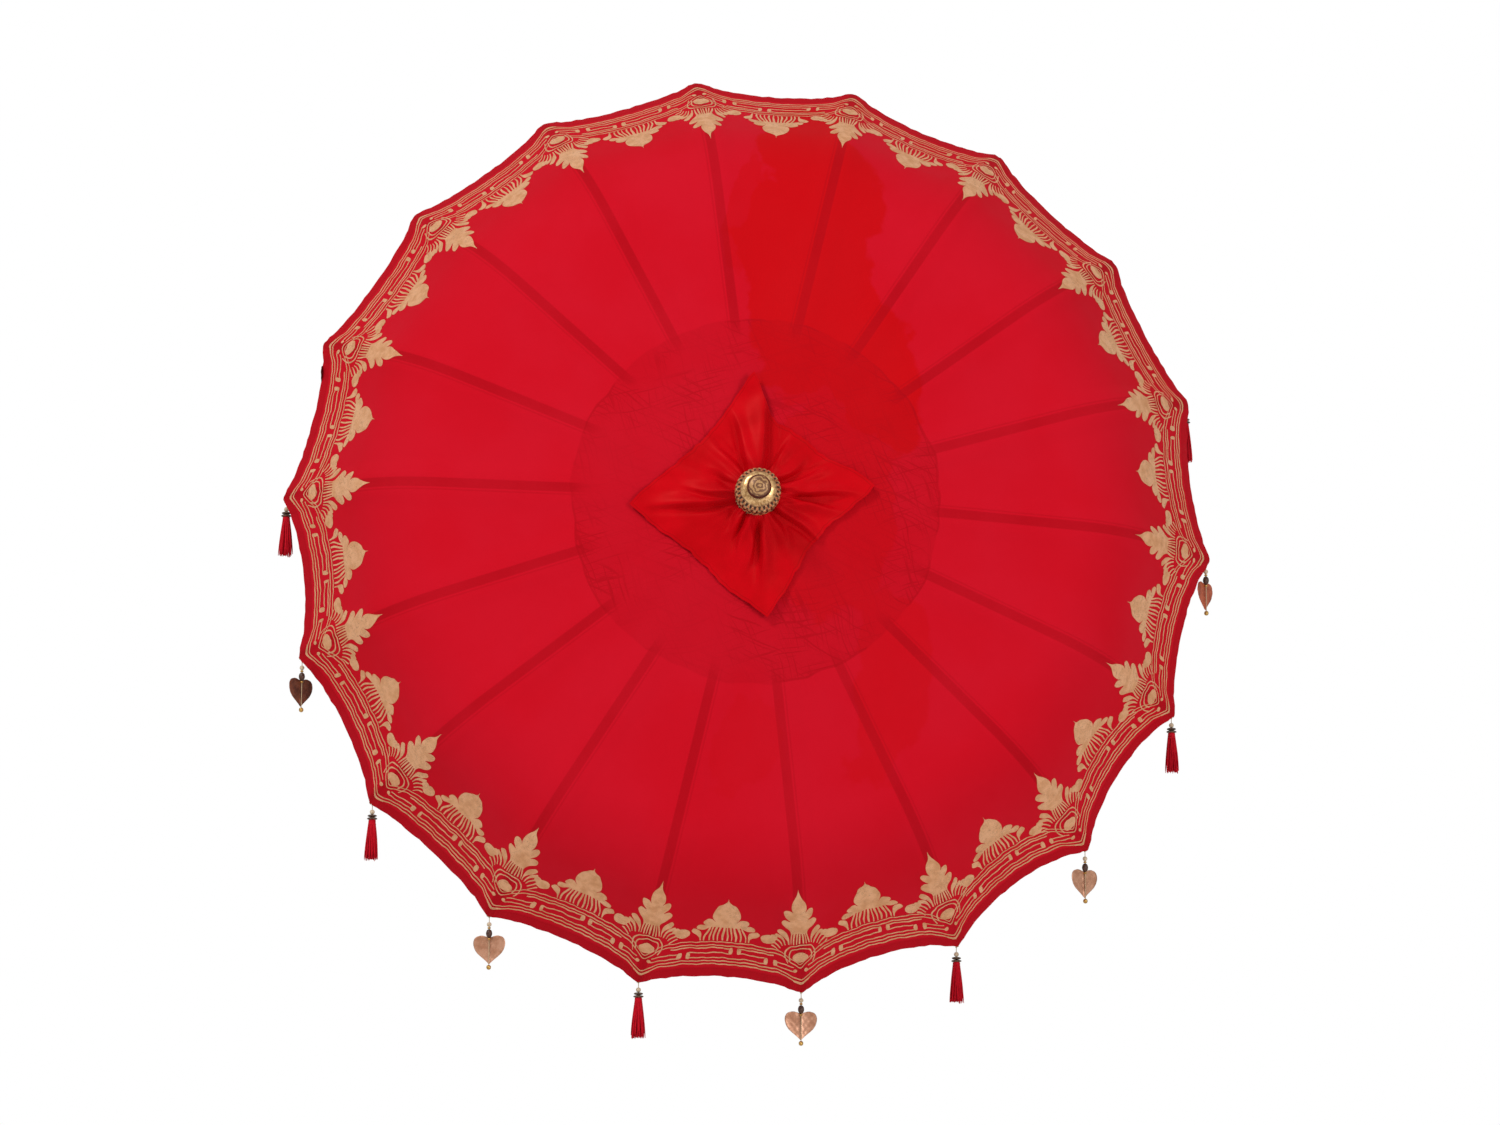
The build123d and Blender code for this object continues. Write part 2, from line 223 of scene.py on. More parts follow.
def cloth_at(s, turn, lift):
    """Points and normals lift above the middle of the rippled cloth."""
    n = cross_normal(rippled_cloth, s, turn)
    return rippled_cloth(s, turn) + n * lift, n


# ---- mesh helpers ----
def new_object(name, mesh, body, *materials):
    """Links a mesh as a piece riding on a body."""
    piece = bpy.data.objects.new(name, mesh)
    bpy.context.scene.collection.objects.link(piece)
    for material in materials:
        mesh.materials.append(material)
    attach(piece, body)
    return piece


def corner_vertices(mesh):
    """The vertex that each face corner stands on."""
    index = np.zeros(len(mesh.loops), int)
    mesh.loops.foreach_get("vertex_index", index)
    return index


def add_flat_map(mesh, flat):
    """The cloth's flat coordinates, one pair for each vertex, as a UV map."""
    corners = flat[corner_vertices(mesh)].astype(np.float32)
    mesh.uv_layers.new(name="cloth").data.foreach_set("uv", corners.ravel())


def add_attribute(mesh, name, values):
    layer = mesh.attributes.new(name, "FLOAT", "POINT")
    layer.data.foreach_set("value", np.asarray(values, dtype=np.float32))


def grid_faces(rows, columns):
    """Quads of a grid stored row by row."""
    return [(i * columns + j, i * columns + j + 1, (i + 1) * columns + j + 1, (i + 1) * columns + j)
            for i in range(rows - 1) for j in range(columns - 1)]


def ring_faces(rows, columns):
    """Quads between closed rings stored one after the other, and a cap on the first and the last."""
    faces = []
    for i in range(rows - 1):
        for j in range(columns):
            k = (j + 1) % columns
            faces.append((i * columns + j, i * columns + k, (i + 1) * columns + k, (i + 1) * columns + j))
    faces.append(tuple(range(columns))[::-1])
    faces.append(tuple((rows - 1) * columns + j for j in range(columns)))
    return faces


def face_outward(mesh):
    """Turns every face of a mesh made of closed pieces outward."""
    bm = bmesh.new()
    bm.from_mesh(mesh)
    bmesh.ops.recalc_face_normals(bm, faces=bm.faces)
    bm.to_mesh(mesh)
    bm.free()


def sheet_mesh(name, top, bottom, top_n, maps, attributes):
    """A closed two-layer sheet from two grids of points (rows, columns, 3), with a rim all round.

    Both layers take the analytic normals, so sheets that meet edge to edge show no seam.
    """
    rows, columns = top.shape[:2]
    size = rows * columns
    vertices = np.concatenate([top.reshape(-1, 3), bottom.reshape(-1, 3)])
    upper = grid_faces(rows, columns)
    a, b, c = (vertices[i] for i in upper[0][:3])
    if np.dot(np.cross(b - a, c - b), top_n.reshape(-1, 3)[upper[0][0]]) < 0:
        upper = [f[::-1] for f in upper]
    lower = [tuple(size + i for i in f[::-1]) for f in upper]
    edge = list(range(columns)) + [i * columns + columns - 1 for i in range(1, rows)]
    edge += [(rows - 1) * columns + j for j in range(columns - 2, -1, -1)]
    edge += [i * columns for i in range(rows - 2, 0, -1)]
    rim = [(i, j, size + j, size + i) for i, j in zip(edge, edge[1:] + edge[:1])]
    forward = set()
    for f in upper:
        forward.update(zip(f, f[1:] + f[:1]))
    rim = [f if (f[1], f[0]) in forward else (f[1], f[0], f[3], f[2]) for f in rim]
    mesh = bpy.data.meshes.new(name)
    mesh.from_pydata(vertices.tolist(), [], upper + lower + rim)
    mesh.update()
    for polygon in mesh.polygons:
        polygon.use_smooth = True
    normals = np.concatenate([top_n.reshape(-1, 3), -top_n.reshape(-1, 3)])
    corners = []
    for polygon in mesh.polygons:
        own = tuple(polygon.normal)
        rim_face = polygon.index >= 2 * len(upper)
        corners += [own if rim_face else tuple(normals[v]) for v in polygon.vertices]
    mesh.normals_split_custom_set(corners)
    add_flat_map(mesh, np.concatenate([maps.reshape(-1, 2)] * 2))
    for key, values in attributes.items():
        add_attribute(mesh, key, np.concatenate([values.ravel()] * 2))
    return mesh


# ---- nodes ----
class Nodes:
    """Shorthand for one material's node tree."""

    def __init__(self, name):
        self.material = bpy.data.materials.new(name)
        self.material.use_nodes = True
        self.tree = self.material.node_tree
        self.shader = self.tree.nodes["Principled BSDF"]

    def add(self, kind, settings=None, **inputs):
        node = self.tree.nodes.new("ShaderNode" + kind)
        for key, value in (settings or {}).items():
            setattr(node, key, value)
        for key, value in inputs.items():
            self.feed(node.inputs[key.replace("_", " ")], value)
        return node

    def feed(self, socket, value):
        if isinstance(value, bpy.types.NodeSocket):
            self.tree.links.new(value, socket)
        else:
            socket.default_value = value

    def math(self, operation, *values):
        node = self.add("Math", {"operation": operation})
        for socket, value in zip(node.inputs, values):
            self.feed(socket, value)
        return node.outputs[0]

    def plus(self, a, b):
        return self.math("ADD", a, b)

    def times(self, a, b):
        return self.math("MULTIPLY", a, b)

    def away(self, value, middle):
        """How far value is from middle."""
        return self.math("ABSOLUTE", self.math("SUBTRACT", value, middle))

    def around_zero(self, noise, width):
        """A noise moved to lie about zero and made width wide."""
        return self.times(self.math("SUBTRACT", noise, 0.5), width)

    def ramp(self, value, low, high, out_low=0.0, out_high=1.0):
        """A smooth step of value between low and high."""
        node = self.add("MapRange", {"interpolation_type": "SMOOTHSTEP"})
        for socket, v in zip(node.inputs, (value, low, high, out_low, out_high)):
            self.feed(socket, v)
        return node.outputs[0]

    def mix(self, factor, a, b):
        node = self.add("Mix", {"data_type": "RGBA"})
        self.feed(node.inputs[0], factor)
        self.feed(node.inputs[6], a)
        self.feed(node.inputs[7], b)
        return node.outputs[2]

    def noise(self, vector, scale, detail=3.0, rough=0.55, distortion=0.0):
        node = self.add("TexNoise", Vector=vector, Scale=scale, Detail=detail, Roughness=rough,
                        Distortion=distortion)
        return node.outputs["Fac"]

    def attribute(self, name):
        return self.add("Attribute", {"attribute_name": name}).outputs["Fac"]

    def coordinates(self):
        return self.add("TexCoord").outputs["Object"]

    def uv(self):
        return self.add("UVMap", {"uv_map": "cloth"}).outputs[0]

    def stretch(self, vector, x=1.0, y=1.0, z=1.0):
        return self.add("Mapping", Vector=vector, Scale=(x, y, z)).outputs[0]

    def bump(self, height, distance, strength):
        return self.add("Bump", Height=height, Distance=distance, Strength=strength).outputs[0]

    def finish(self, **inputs):
        for key, value in inputs.items():
            self.feed(self.shader.inputs[key.replace("_", " ")], value)
        return self.material


def weave(n, uv):
    """Height of a plain weave: warp and weft threads that pass over each other in turn."""
    cells = n.stretch(uv, 1 / THREAD_PITCH, 1 / THREAD_PITCH)
    split = n.add("SeparateXYZ", Vector=cells)
    x, y = split.outputs[0], split.outputs[1]
    warp = n.math("ABSOLUTE", n.math("SINE", n.times(x, pi)))
    weft = n.math("ABSOLUTE", n.math("SINE", n.times(y, pi)))
    parity = n.math("MODULO", n.plus(n.math("FLOOR", x), n.math("FLOOR", y)), 2.0)
    over = n.math("ABSOLUTE", parity)
    return n.plus(n.times(warp, over), n.times(weft, n.math("SUBTRACT", 1.0, over)))


RED = (0.61, 0.0036, 0.0165, 1)
RED_DEEP = (0.575, 0.0008, 0.0030, 1)
RED_DARK = (0.37, 0.0008, 0.0055, 1)
STITCH_PITCH = 0.005
# deeper red patches of the cloth: x, z, half sizes, lean and how deep
DEEP_RED_PATCHES = ((0.09, 0.50, 0.125, 0.30, 0.08, 1.0), (0.21, 0.30, 0.10, 0.22, -0.35, 1.0),
               (0.25, -0.34, 0.08, 0.20, 0.1, 0.5), (-0.02, -0.46, 0.07, 0.09, 0.4, 0.3),
               (0.12, 0.0, 0.16, 0.24, 0.0, 0.6), (-0.02, 0.56, 0.035, 0.14, 0.15, 0.6))


def deep_red_patches(n, place):
    """How deep the deeper red is: ovals with ragged edges."""
    ragged = n.around_zero(n.noise(place, 7.0, 4.0, 0.6), 1.7)
    deepest = None
    for x, z, half_w, half_h, lean, deep in DEEP_RED_PATCHES:
        at = n.add("Mapping", {"vector_type": "TEXTURE"}, Vector=place, Location=(x, 0, z),
                   Rotation=(0, lean, 0), Scale=(half_w, 1e6, half_h)).outputs[0]
        reach = n.add("VectorMath", {"operation": "LENGTH"})
        n.feed(reach.inputs[0], at)
        spot = n.ramp(n.plus(reach.outputs["Value"], ragged), 1.04, 0.92, 0.0, deep)
        deepest = spot if deepest is None else n.math("MAXIMUM", deepest, spot)
    return deepest


def gauze_threads(n, place):
    """Coarse broken threads of the doubled gauze, seen through the top layer."""
    wander = n.add("TexNoise", Vector=place, Scale=6.0, Detail=2.0).outputs["Color"]
    bent = n.add("VectorMath", {"operation": "MULTIPLY_ADD"})
    for socket, value in zip(bent.inputs, (wander, (0.05, 0.05, 0.05), place)):
        n.feed(socket, value)
    lines = []
    for turn_by, along, across_by in ((0.35, 8, 300), (1.85, 9, 340), (1.1, 7, 230)):
        turned = n.add("Mapping", Vector=bent.outputs[0], Rotation=(0, turn_by, 0)).outputs[0]
        fibres = n.noise(n.stretch(turned, across_by, 1, along), 1.0, 2.0, 0.5)
        lines.append(n.ramp(fibres, 0.57, 0.66))
    return n.math("MAXIMUM", n.math("MAXIMUM", lines[0], lines[1]), lines[2])


def cotton():
    """Red plain-woven cotton, with its hem band, painted shadows of the ribs and doubled gauze disc."""
    n = Nodes("red cotton")
    uv = n.uv()
    place = n.coordinates()
    across = n.attribute("across")
    hem = n.attribute("hem")
    radius = n.attribute("radius")
    threads = weave(n, uv)
    cloudy = n.noise(place, 5.0, 3.0)
    base = n.mix(n.times(deep_red_patches(n, place), 0.9), RED, RED_DEEP)
    base = n.mix(n.ramp(cloudy, 0.35, 0.7, 0.0, 0.22), base, RED_DEEP)
    # painted shadow of each rib, seen through the cloth as a darker stripe, and the real seam beside it, from
    # near the disc's edge outward
    shows = n.ramp(radius, 0.30, 0.36)
    rib_shadow = n.times(n.ramp(n.away(across, 0), 0.0105, 0.0075), shows)
    rib_shadow = n.times(rib_shadow, n.ramp(cloudy, 0.3, 0.7, 0.42, 0.62))
    seam = n.times(n.ramp(n.away(across, 0.0135), 0.0022, 0.0008), shows)
    # gauze disc, worn in places, with a darker rim
    edge = n.plus(radius, n.around_zero(n.noise(place, 9.0, 2.0), 0.03))
    disc = n.ramp(edge, DISC_R + 0.004, DISC_R - 0.004)
    worn = n.ramp(n.noise(place, 7.0, 2.0), 0.42, 0.60)
    net = n.times(gauze_threads(n, place), n.plus(0.25, n.times(worn, 0.75)))
    rim = n.ramp(n.away(edge, DISC_R), 0.0030, 0.0012)
    # turned hem and its stitches
    hem_band = n.ramp(n.plus(hem, n.around_zero(cloudy, 0.006)), 0.030, 0.022)
    stitches = n.ramp(n.math("SINE", n.times(across, 2 * pi / STITCH_PITCH)), -0.2, 0.3)
    stitch = n.times(n.ramp(n.away(hem, 0.0215), 0.0012, 0.0005), stitches)
    # thicker threads both ways
    slubs = [n.times(n.ramp(n.noise(n.stretch(uv, *scale), 1.0, 2.0), 0.62, 0.80), 0.16)
             for scale in ((900, 25), (25, 900))]
    for dark in (rib_shadow, n.times(seam, 0.28), n.times(disc, 0.20), n.times(n.times(net, disc), 0.55),
                 n.times(rim, n.ramp(worn, 0.2, 0.8, 0.10, 0.42)), n.times(hem_band, 0.5),
                 n.times(stitch, 0.6), *slubs, n.ramp(threads, 0.9, 0.1, 0.0, 0.25)):
        base = n.mix(dark, base, RED_DARK)
    height = n.plus(n.times(threads, 0.5), n.times(net, n.times(disc, 0.6)))
    height = n.plus(height, n.times(stitch, -0.8))
    return n.finish(Base_Color=base, Roughness=n.ramp(cloudy, 0.3, 0.7, 0.78, 0.9),
                    Normal=n.bump(height, 0.00025, 0.5), Specular_IOR_Level=0.08,
                    Sheen_Weight=0.04, Sheen_Roughness=0.5, Sheen_Tint=(0.9, 0.2, 0.2, 1))


def paint():
    """Hand-painted gold: tan bronze, uneven, with the cloth's threads showing through thin places."""
    n = Nodes("gold paint")
    place = n.coordinates()
    threads = weave(n, n.uv())
    blotch = n.noise(place, 55.0, 3.0, 0.6)
    cloudy = n.noise(place, 9.0, 2.0)
    worn = n.noise(place, 420.0, 3.0, 0.7)
    base = n.mix(n.ramp(blotch, 0.35, 0.68), (0.86, 0.445, 0.225, 1), (0.70, 0.325, 0.140, 1))
    base = n.mix(n.ramp(cloudy, 0.4, 0.65, 0.0, 0.4), base, (0.88, 0.50, 0.28, 1))
    thin = n.times(n.ramp(worn, 0.60, 0.74), 0.45)
    base = n.mix(thin, base, (0.45, 0.06, 0.03, 1))
    base = n.mix(n.ramp(threads, 0.8, 0.1, 0.0, 0.22), base, (0.30, 0.10, 0.04, 1))
    creases = n.noise(place, 75.0, 3.0, 0.55, 1.4)
    crease = n.ramp(n.away(creases, 0.5), 0.022, 0.004)
    # painted shade: the paint's creases are darkened to brown
    crease_shade = n.times(crease, n.ramp(cloudy, 0.38, 0.6, 0.08, 0.6))
    base = n.mix(crease_shade, base, (0.36, 0.150, 0.060, 1))
    height = n.plus(threads, n.times(worn, 0.8))
    height = n.plus(height, n.times(crease, -1.5))
    return n.finish(Base_Color=base, Roughness=n.ramp(blotch, 0.3, 0.7, 0.42, 0.62), Metallic=0.18,
                    Normal=n.bump(height, 0.0002, 0.6), Specular_IOR_Level=0.4)


def satin():
    """Glossy red satin with fine crosswise threads."""
    n = Nodes("red satin")
    uv, place = n.uv(), n.coordinates()
    fine = n.noise(n.stretch(uv, 1400, 60), 1.0, 2.0)
    fine_2 = n.noise(n.stretch(uv, 60, 1400), 1.0, 2.0)
    cloudy = n.noise(place, 14.0, 3.0)
    base = n.mix(n.ramp(cloudy, 0.3, 0.7), (0.58, 0.0010, 0.0060, 1), (0.48, 0.0006, 0.0040, 1))
    base = n.mix(n.ramp(fine, 0.5, 0.8, 0.0, 0.25), base, (0.40, 0.002, 0.004, 1))
    stitch = n.times(n.ramp(n.away(n.attribute("edge"), 0.006), 0.0011, 0.0005), 0.45)
    base = n.mix(stitch, base, (0.30, 0.002, 0.004, 1))
    height = n.plus(fine, n.times(fine_2, 0.4))
    return n.finish(Base_Color=base, Roughness=n.ramp(cloudy, 0.3, 0.7, 0.42, 0.52), Specular_IOR_Level=0.19,
                    Normal=n.bump(height, 0.0003, 0.35), Specular_Tint=(1.0, 0.16, 0.12, 1), Anisotropic=0.3)


def wood(name, light, dark, axis_scale, gloss):
    """Varnished wood with grain stretched along one axis."""
    n = Nodes(name)
    place = n.coordinates()
    grain_place = n.stretch(place, *axis_scale)
    grain = n.noise(grain_place, 1.0, 6.0, 0.6, 0.8)
    pores = n.noise(n.stretch(place, *(4 * a for a in axis_scale)), 1.0, 2.0, 0.5)
    bands = n.add("TexWave", {"wave_type": "RINGS"}, Vector=grain_place, Scale=0.28, Distortion=4.0,
                  Detail=3.0).outputs["Fac"]
    base = n.mix(n.ramp(grain, 0.3, 0.7), light, dark)
    base = n.mix(n.times(bands, 0.3), base, dark)
    base = n.mix(n.ramp(pores, 0.62, 0.72, 0.0, 0.5), base, tuple(0.4 * c for c in dark[:3]) + (1,))
    height = n.plus(n.times(grain, 0.6), n.times(pores, -0.6))
    return n.finish(Base_Color=base, Roughness=n.ramp(grain, 0.3, 0.7, gloss - 0.06, gloss + 0.12),
                    Normal=n.bump(height, 0.0006, 0.35), Coat_Weight=0.15, Coat_Roughness=0.25)


def antique_gold():
    """Gilding rubbed through to dark wood along worn patches, with painted shade, nearly black, in the carved
    grooves, the dot holes and the neck's groove, and over the body's darker wood under the swell.
    """
    n = Nodes("antique gold")
    place = n.coordinates()
    worn = n.noise(place, 90.0, 5.0, 0.65)
    streak = n.noise(n.stretch(place, 160, 60, 160), 1.0, 4.0, 0.6, 0.7)
    shade_and_dark_wood = n.attribute("shade_and_dark_wood")
    base = n.mix(n.ramp(streak, 0.35, 0.7), (0.88, 0.56, 0.26, 1), (0.42, 0.215, 0.075, 1))
    base = n.mix(n.ramp(worn, 0.56, 0.70, 0.0, 0.7), base, (0.11, 0.045, 0.018, 1))
    # painted shade: nearly black where the finial is marked dark, in its grooves, holes and under the swell
    base = n.mix(n.ramp(shade_and_dark_wood, 0.15, 0.85, 0.0, 0.95), base, (0.020, 0.005, 0.004, 1))
    metal = n.ramp(n.plus(shade_and_dark_wood, n.times(worn, 0.6)), 0.3, 0.9, 0.75, 0.05)
    return n.finish(Base_Color=base, Metallic=metal, Roughness=n.ramp(worn, 0.3, 0.7, 0.24, 0.46),
                    Normal=n.bump(n.plus(streak, worn), 0.0005, 0.4))


def knob_wood():
    """End grain of the knob: rings about its own axis, rubbed with gold."""
    n = Nodes("knob wood")
    place = n.coordinates()
    rings = n.add("TexWave", {"wave_type": "RINGS", "rings_direction": "Y"},
                  Vector=n.stretch(place, 1, 0.2, 1), Scale=42.0, Distortion=7.0, Detail=3.0,
                  Detail_Scale=2.5).outputs["Fac"]
    patch = n.noise(place, 70.0, 4.0, 0.6)
    shade_and_dark_wood = n.attribute("shade_and_dark_wood")
    base = n.mix(n.ramp(rings, 0.25, 0.75), (0.50, 0.275, 0.115, 1), (0.19, 0.080, 0.035, 1))
    base = n.mix(n.ramp(patch, 0.52, 0.7, 0.0, 0.55), base, (0.16, 0.066, 0.035, 1))
    # painted shade: nearly black on the knob's foot and down its side below the face
    base = n.mix(n.ramp(shade_and_dark_wood, 0.2, 0.8, 0.0, 0.92), base, (0.045, 0.008, 0.006, 1))
    return n.finish(Base_Color=base, Metallic=0.25, Roughness=n.ramp(patch, 0.3, 0.7, 0.34, 0.5),
                    Normal=n.bump(n.plus(rings, patch), 0.0006, 0.4))


def glazed(name, color, other, rough, bands=0.0, metallic=0.0):
    """A small bead: mottled, lightly scratched, with optional turned bands along Z."""
    n = Nodes(name)
    place = n.coordinates()
    mottle = n.noise(place, 260.0, 4.0, 0.6)
    scratch = n.noise(n.stretch(place, 500, 500, 2500), 1.0, 2.0)
    base = n.mix(n.ramp(mottle, 0.35, 0.65), color, other)
    height = n.plus(scratch, mottle)
    if bands:
        z = n.add("SeparateXYZ", Vector=place).outputs[2]
        wave = n.math("SINE", n.times(z, 2 * pi / bands))
        base = n.mix(n.ramp(wave, 0.3, 0.9, 0.0, 0.6), base, other)
        height = n.plus(height, n.times(wave, 0.6))
    return n.finish(Base_Color=base, Roughness=n.ramp(mottle, 0.3, 0.7, rough - 0.05, rough + 0.12),
                    Metallic=metallic, Normal=n.bump(height, 0.0002, 0.3))


def yarn(name, color, dark):
    """Twisted yarn: a fine diagonal twist with fuzz."""
    n = Nodes(name)
    place = n.coordinates()
    twist = n.noise(n.stretch(place, 1500, 1500, 350), 1.0, 2.0, 0.5, 0.4)
    shade = n.noise(place, 160.0, 2.0)
    base = n.mix(n.ramp(twist, 0.35, 0.68), color, dark)
    base = n.mix(n.ramp(shade, 0.4, 0.7, 0.0, 0.4), base, dark)
    return n.finish(Base_Color=base, Roughness=n.ramp(shade, 0.3, 0.7, 0.75, 0.9),
                    Normal=n.bump(twist, 0.0003, 0.5), Specular_IOR_Level=0.15)


def copper(name, color, dark, metallic, rough):
    """Thin hand-cut copper sheet: rolled scratches, dents and tarnish."""
    n = Nodes(name)
    place = n.coordinates()
    cloud = n.noise(place, 60.0, 4.0, 0.6)
    fine = n.noise(n.stretch(place, 900, 900, 90), 1.0, 3.0, 0.6)
    dents = n.noise(place, 110.0, 2.0)
    base = n.mix(n.ramp(cloud, 0.38, 0.70), color, dark)
    base = n.mix(n.ramp(fine, 0.55, 0.8, 0.0, 0.3), base, dark)
    height = n.plus(n.times(fine, 0.4), dents)
    return n.finish(Base_Color=base, Metallic=metallic, Normal=n.bump(height, 0.0006, 0.35),
                    Roughness=n.ramp(cloud, 0.3, 0.7, rough - 0.08, rough + 0.1))


COTTON, PAINT, SATIN = cotton(), paint(), satin()
POLE_WOOD = wood("varnished pole", (0.36, 0.19, 0.085, 1), (0.17, 0.075, 0.03, 1), (60, 4, 60), 0.38)
TURNED_WOOD = wood("turned wood", (0.42, 0.24, 0.11, 1), (0.22, 0.105, 0.042, 1), (90, 12, 90), 0.42)
RIB_WOOD = wood("rib wood", (0.50, 0.33, 0.17, 1), (0.34, 0.195, 0.09, 1), (50, 50, 50), 0.55)
GILT, KNOB = antique_gold(), knob_wood()
CREAM = glazed("cream bead", (0.72, 0.60, 0.44, 1), (0.55, 0.42, 0.27, 1), 0.42)
DARK_RING = glazed("dark ringed bead", (0.030, 0.012, 0.010, 1), (0.14, 0.085, 0.05, 1), 0.34, 0.0026)
DARK_BEAD = glazed("dark wooden bead", (0.045, 0.016, 0.010, 1), (0.09, 0.035, 0.018, 1), 0.38)
GOLD_BEAD = glazed("gold bead", (0.70, 0.44, 0.13, 1), (0.50, 0.27, 0.07, 1), 0.30, 0.0, 0.85)
RED_YARN = yarn("red yarn", (0.66, 0.004, 0.018, 1), (0.40, 0.002, 0.010, 1))
CREAM_THREAD = yarn("cream thread", (0.66, 0.52, 0.34, 1), (0.42, 0.30, 0.17, 1))
RED_COPPER = copper("reddened copper", (0.52, 0.110, 0.045, 1), (0.30, 0.060, 0.028, 1), 0.2, 0.50)
COPPER = copper("copper sheet", (0.62, 0.32, 0.20, 1), (0.42, 0.19, 0.105, 1), 0.45, 0.42)
DARK_COPPER = copper("tarnished copper", (0.24, 0.085, 0.045, 1), (0.10, 0.03, 0.018, 1), 0.55, 0.45)

# ---- canopy ----
PLEAT_S = 0.42            # a point of the cloth over a rib; fold_up works out its radius and height there but uses neither
CHORD = atan2(-(meridian(np.array([S_TIP]))[1][0]), R_TIP - R_PIVOT)
COLUMNS = 16              # across half a panel
HEM_ROWS, BORDER_ROWS, INNER_ROWS = 10, 26, 44
HEM_FOLD_T = 0.0007       # how much the turned hem adds on each side of the cloth
HEM_FOLD_END = (0.016, 0.021)  # it thins away between these distances from the hem


def fold_up(piece):
    """Gives a piece its own copy of its mesh, and works out where PLEAT_S lies over a rib without using it.
    """
    mid_r, mid_h, _ = (v[0] for v in meridian(np.array([PLEAT_S])))
    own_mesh(piece)


def panel_area():
    """Flat area of one panel, in square metres."""
    s = np.linspace(CENTRE_R, S_TIP - MEAN_HEM, 200)
    r, _, _ = meridian(s)
    return float(np.trapz(2 * r * sin(HALF), s))


def panel(rib):
    """The canopy's cloth from half way to the last rib to half way to the next one."""
    t = np.linspace(-1, 1, 2 * COLUMNS + 1)
    turn_line = rib + 0.5 * np.sign(t) * np.abs(t)**1.35
    length = S_TIP - CENTRE_R
    depth = np.concatenate([np.linspace(0, 0.03, HEM_ROWS, endpoint=False),
                            np.linspace(0.03, 0.30, BORDER_ROWS, endpoint=False),
                            np.linspace(0.30, length, INNER_ROWS)])
    share, turn = np.meshgrid(depth / length, turn_line, indexing="ij")
    hem = hem_s(turn)
    s = hem - share * (hem - CENTRE_R)
    top, n = cloth_at(s, turn, CLOTH_T / 2)
    fold = HEM_FOLD_T * (1 - smooth_step(hem - s, *HEM_FOLD_END))[..., None]
    top = top + n * fold
    bottom = top - n * (CLOTH_T + 2 * fold)
    r, _, _ = meridian(s)
    across = (turn - rib) * 2 * r * sin(HALF)
    radius = r * cos(HALF) / np.cos(HALF - np.abs(turn - rib) * STEP)
    mesh = sheet_mesh(f"canopy_panel_{rib + 1:02d}", top, bottom, n, np.stack([across, s], -1),
                      {"across": across, "hem": hem - s, "radius": radius})
    piece = new_object(mesh.name, mesh, rib_body(rib), COTTON)
    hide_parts("canopy")
    return piece


BRIM_R = 0.068            # the still middle reaches on under the panels, and covers the crown when they fold
BRIM_DROP = 0.00055       # the brim's top below the cloth's middle
BRIM_T = 0.0005


def canopy_centre():
    """The still middle of the canopy: full thickness under the finial, then a thin brim under the panels."""
    s, turn = np.meshgrid([TENON_HOLE_R, 0.018, 0.026, 0.0335, CENTRE_R, 0.043, 0.052, BRIM_R],
                          np.linspace(0, N, 4 * N + 1), indexing="ij")
    points, n = cloth_at(s, turn, 0)
    brim = s >= CENTRE_R
    top = np.where(brim, -BRIM_DROP, CLOTH_T / 2)[..., None]
    bottom = np.where(brim, -BRIM_DROP - BRIM_T, -CLOTH_T / 2)[..., None]
    mesh = sheet_mesh("canopy_centre", points + n * top, points + n * bottom, n,
                      np.stack([points[..., 0], points[..., 2]], -1),
                      {"across": 0.05 + 0 * s, "hem": 0.5 + 0 * s, "radius": s})
    bm = bmesh.new()
    bm.from_mesh(mesh)
    bmesh.ops.remove_doubles(bm, verts=bm.verts, dist=1e-5)
    bm.to_mesh(mesh)
    bm.free()
    piece = new_object("canopy_centre", mesh, "pole_assembly", COTTON)
    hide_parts("canopy")


# ---- painted border, drawn flat in mm: x from a rib's line, y in from the tips' line ----
GORE = 1000 * 2 * R_TIP * sin(HALF)


def smooth_line(points, step):
    """A Catmull-Rom curve through a few points, sampled about every step mm."""
    p = np.array(points, float)
    p = np.concatenate([[2 * p[0] - p[1]], p, [2 * p[-1] - p[-2]]])
    line = []
    for a, b, c, d in zip(p, p[1:], p[2:], p[3:]):
        count = max(2, int(np.linalg.norm(c - b) / step) + 1)
        for k in range(count):
            t = k / count
            line.append(0.5 * (2 * b + (c - a) * t + (2 * a - 5 * b + 4 * c - d) * t * t
                               + (3 * b - a - 3 * c + d) * t**3))
    return np.array(line + [p[-2]])


def stroke(shapes, points, widths, from_hem=0):
    """A painted stroke along a smooth line; widths are spread evenly along it. Round ends."""
    line = smooth_line(points, 4.0)
    gone = np.concatenate([[0], np.cumsum(np.linalg.norm(np.diff(line, axis=0), axis=1))])
    width = np.interp(gone / gone[-1], np.linspace(0, 1, len(widths)), widths)
    way = np.gradient(line, axis=0)
    way /= np.linalg.norm(way, axis=1, keepdims=True)
    side = np.stack([-way[:, 1], way[:, 0]], -1) * width[:, None] / 2
    left, right = list(line + side), list(line - side)
    for end, out, r in ((0, -1, width[0] / 2), (-1, 1, width[-1] / 2)):
        caps = []
        for a in (0.5, 0.87):
            mid = line[end] + out * way[end] * r * a
            half_w = side[end] * sqrt(1 - a * a)
            caps.append((mid + half_w, mid - half_w))
        if end == 0:
            left = [c[0] for c in caps[::-1]] + left
            right = [c[1] for c in caps[::-1]] + right
        else:
            left = left + [c[0] for c in caps]
            right = right + [c[1] for c in caps]
    shapes.append((np.array(left), np.array(right), 0, from_hem))


def blob(shapes, x, y, half_w, half_h, lean=0.0, lift=0):
    """A painted oval."""
    a = radians(lean)
    way = np.array([cos(a), sin(a)])
    up = np.array([-sin(a), cos(a)])
    left, right = [], []
    for k in range(9):
        t = pi * (k + 0.5) / 9
        at = np.array([x, y]) - cos(t) * half_w * way
        left.append(at + up * half_h * sin(t))
        right.append(at - up * half_h * sin(t))
    shapes.append((np.array(left), np.array(right), lift, 0))


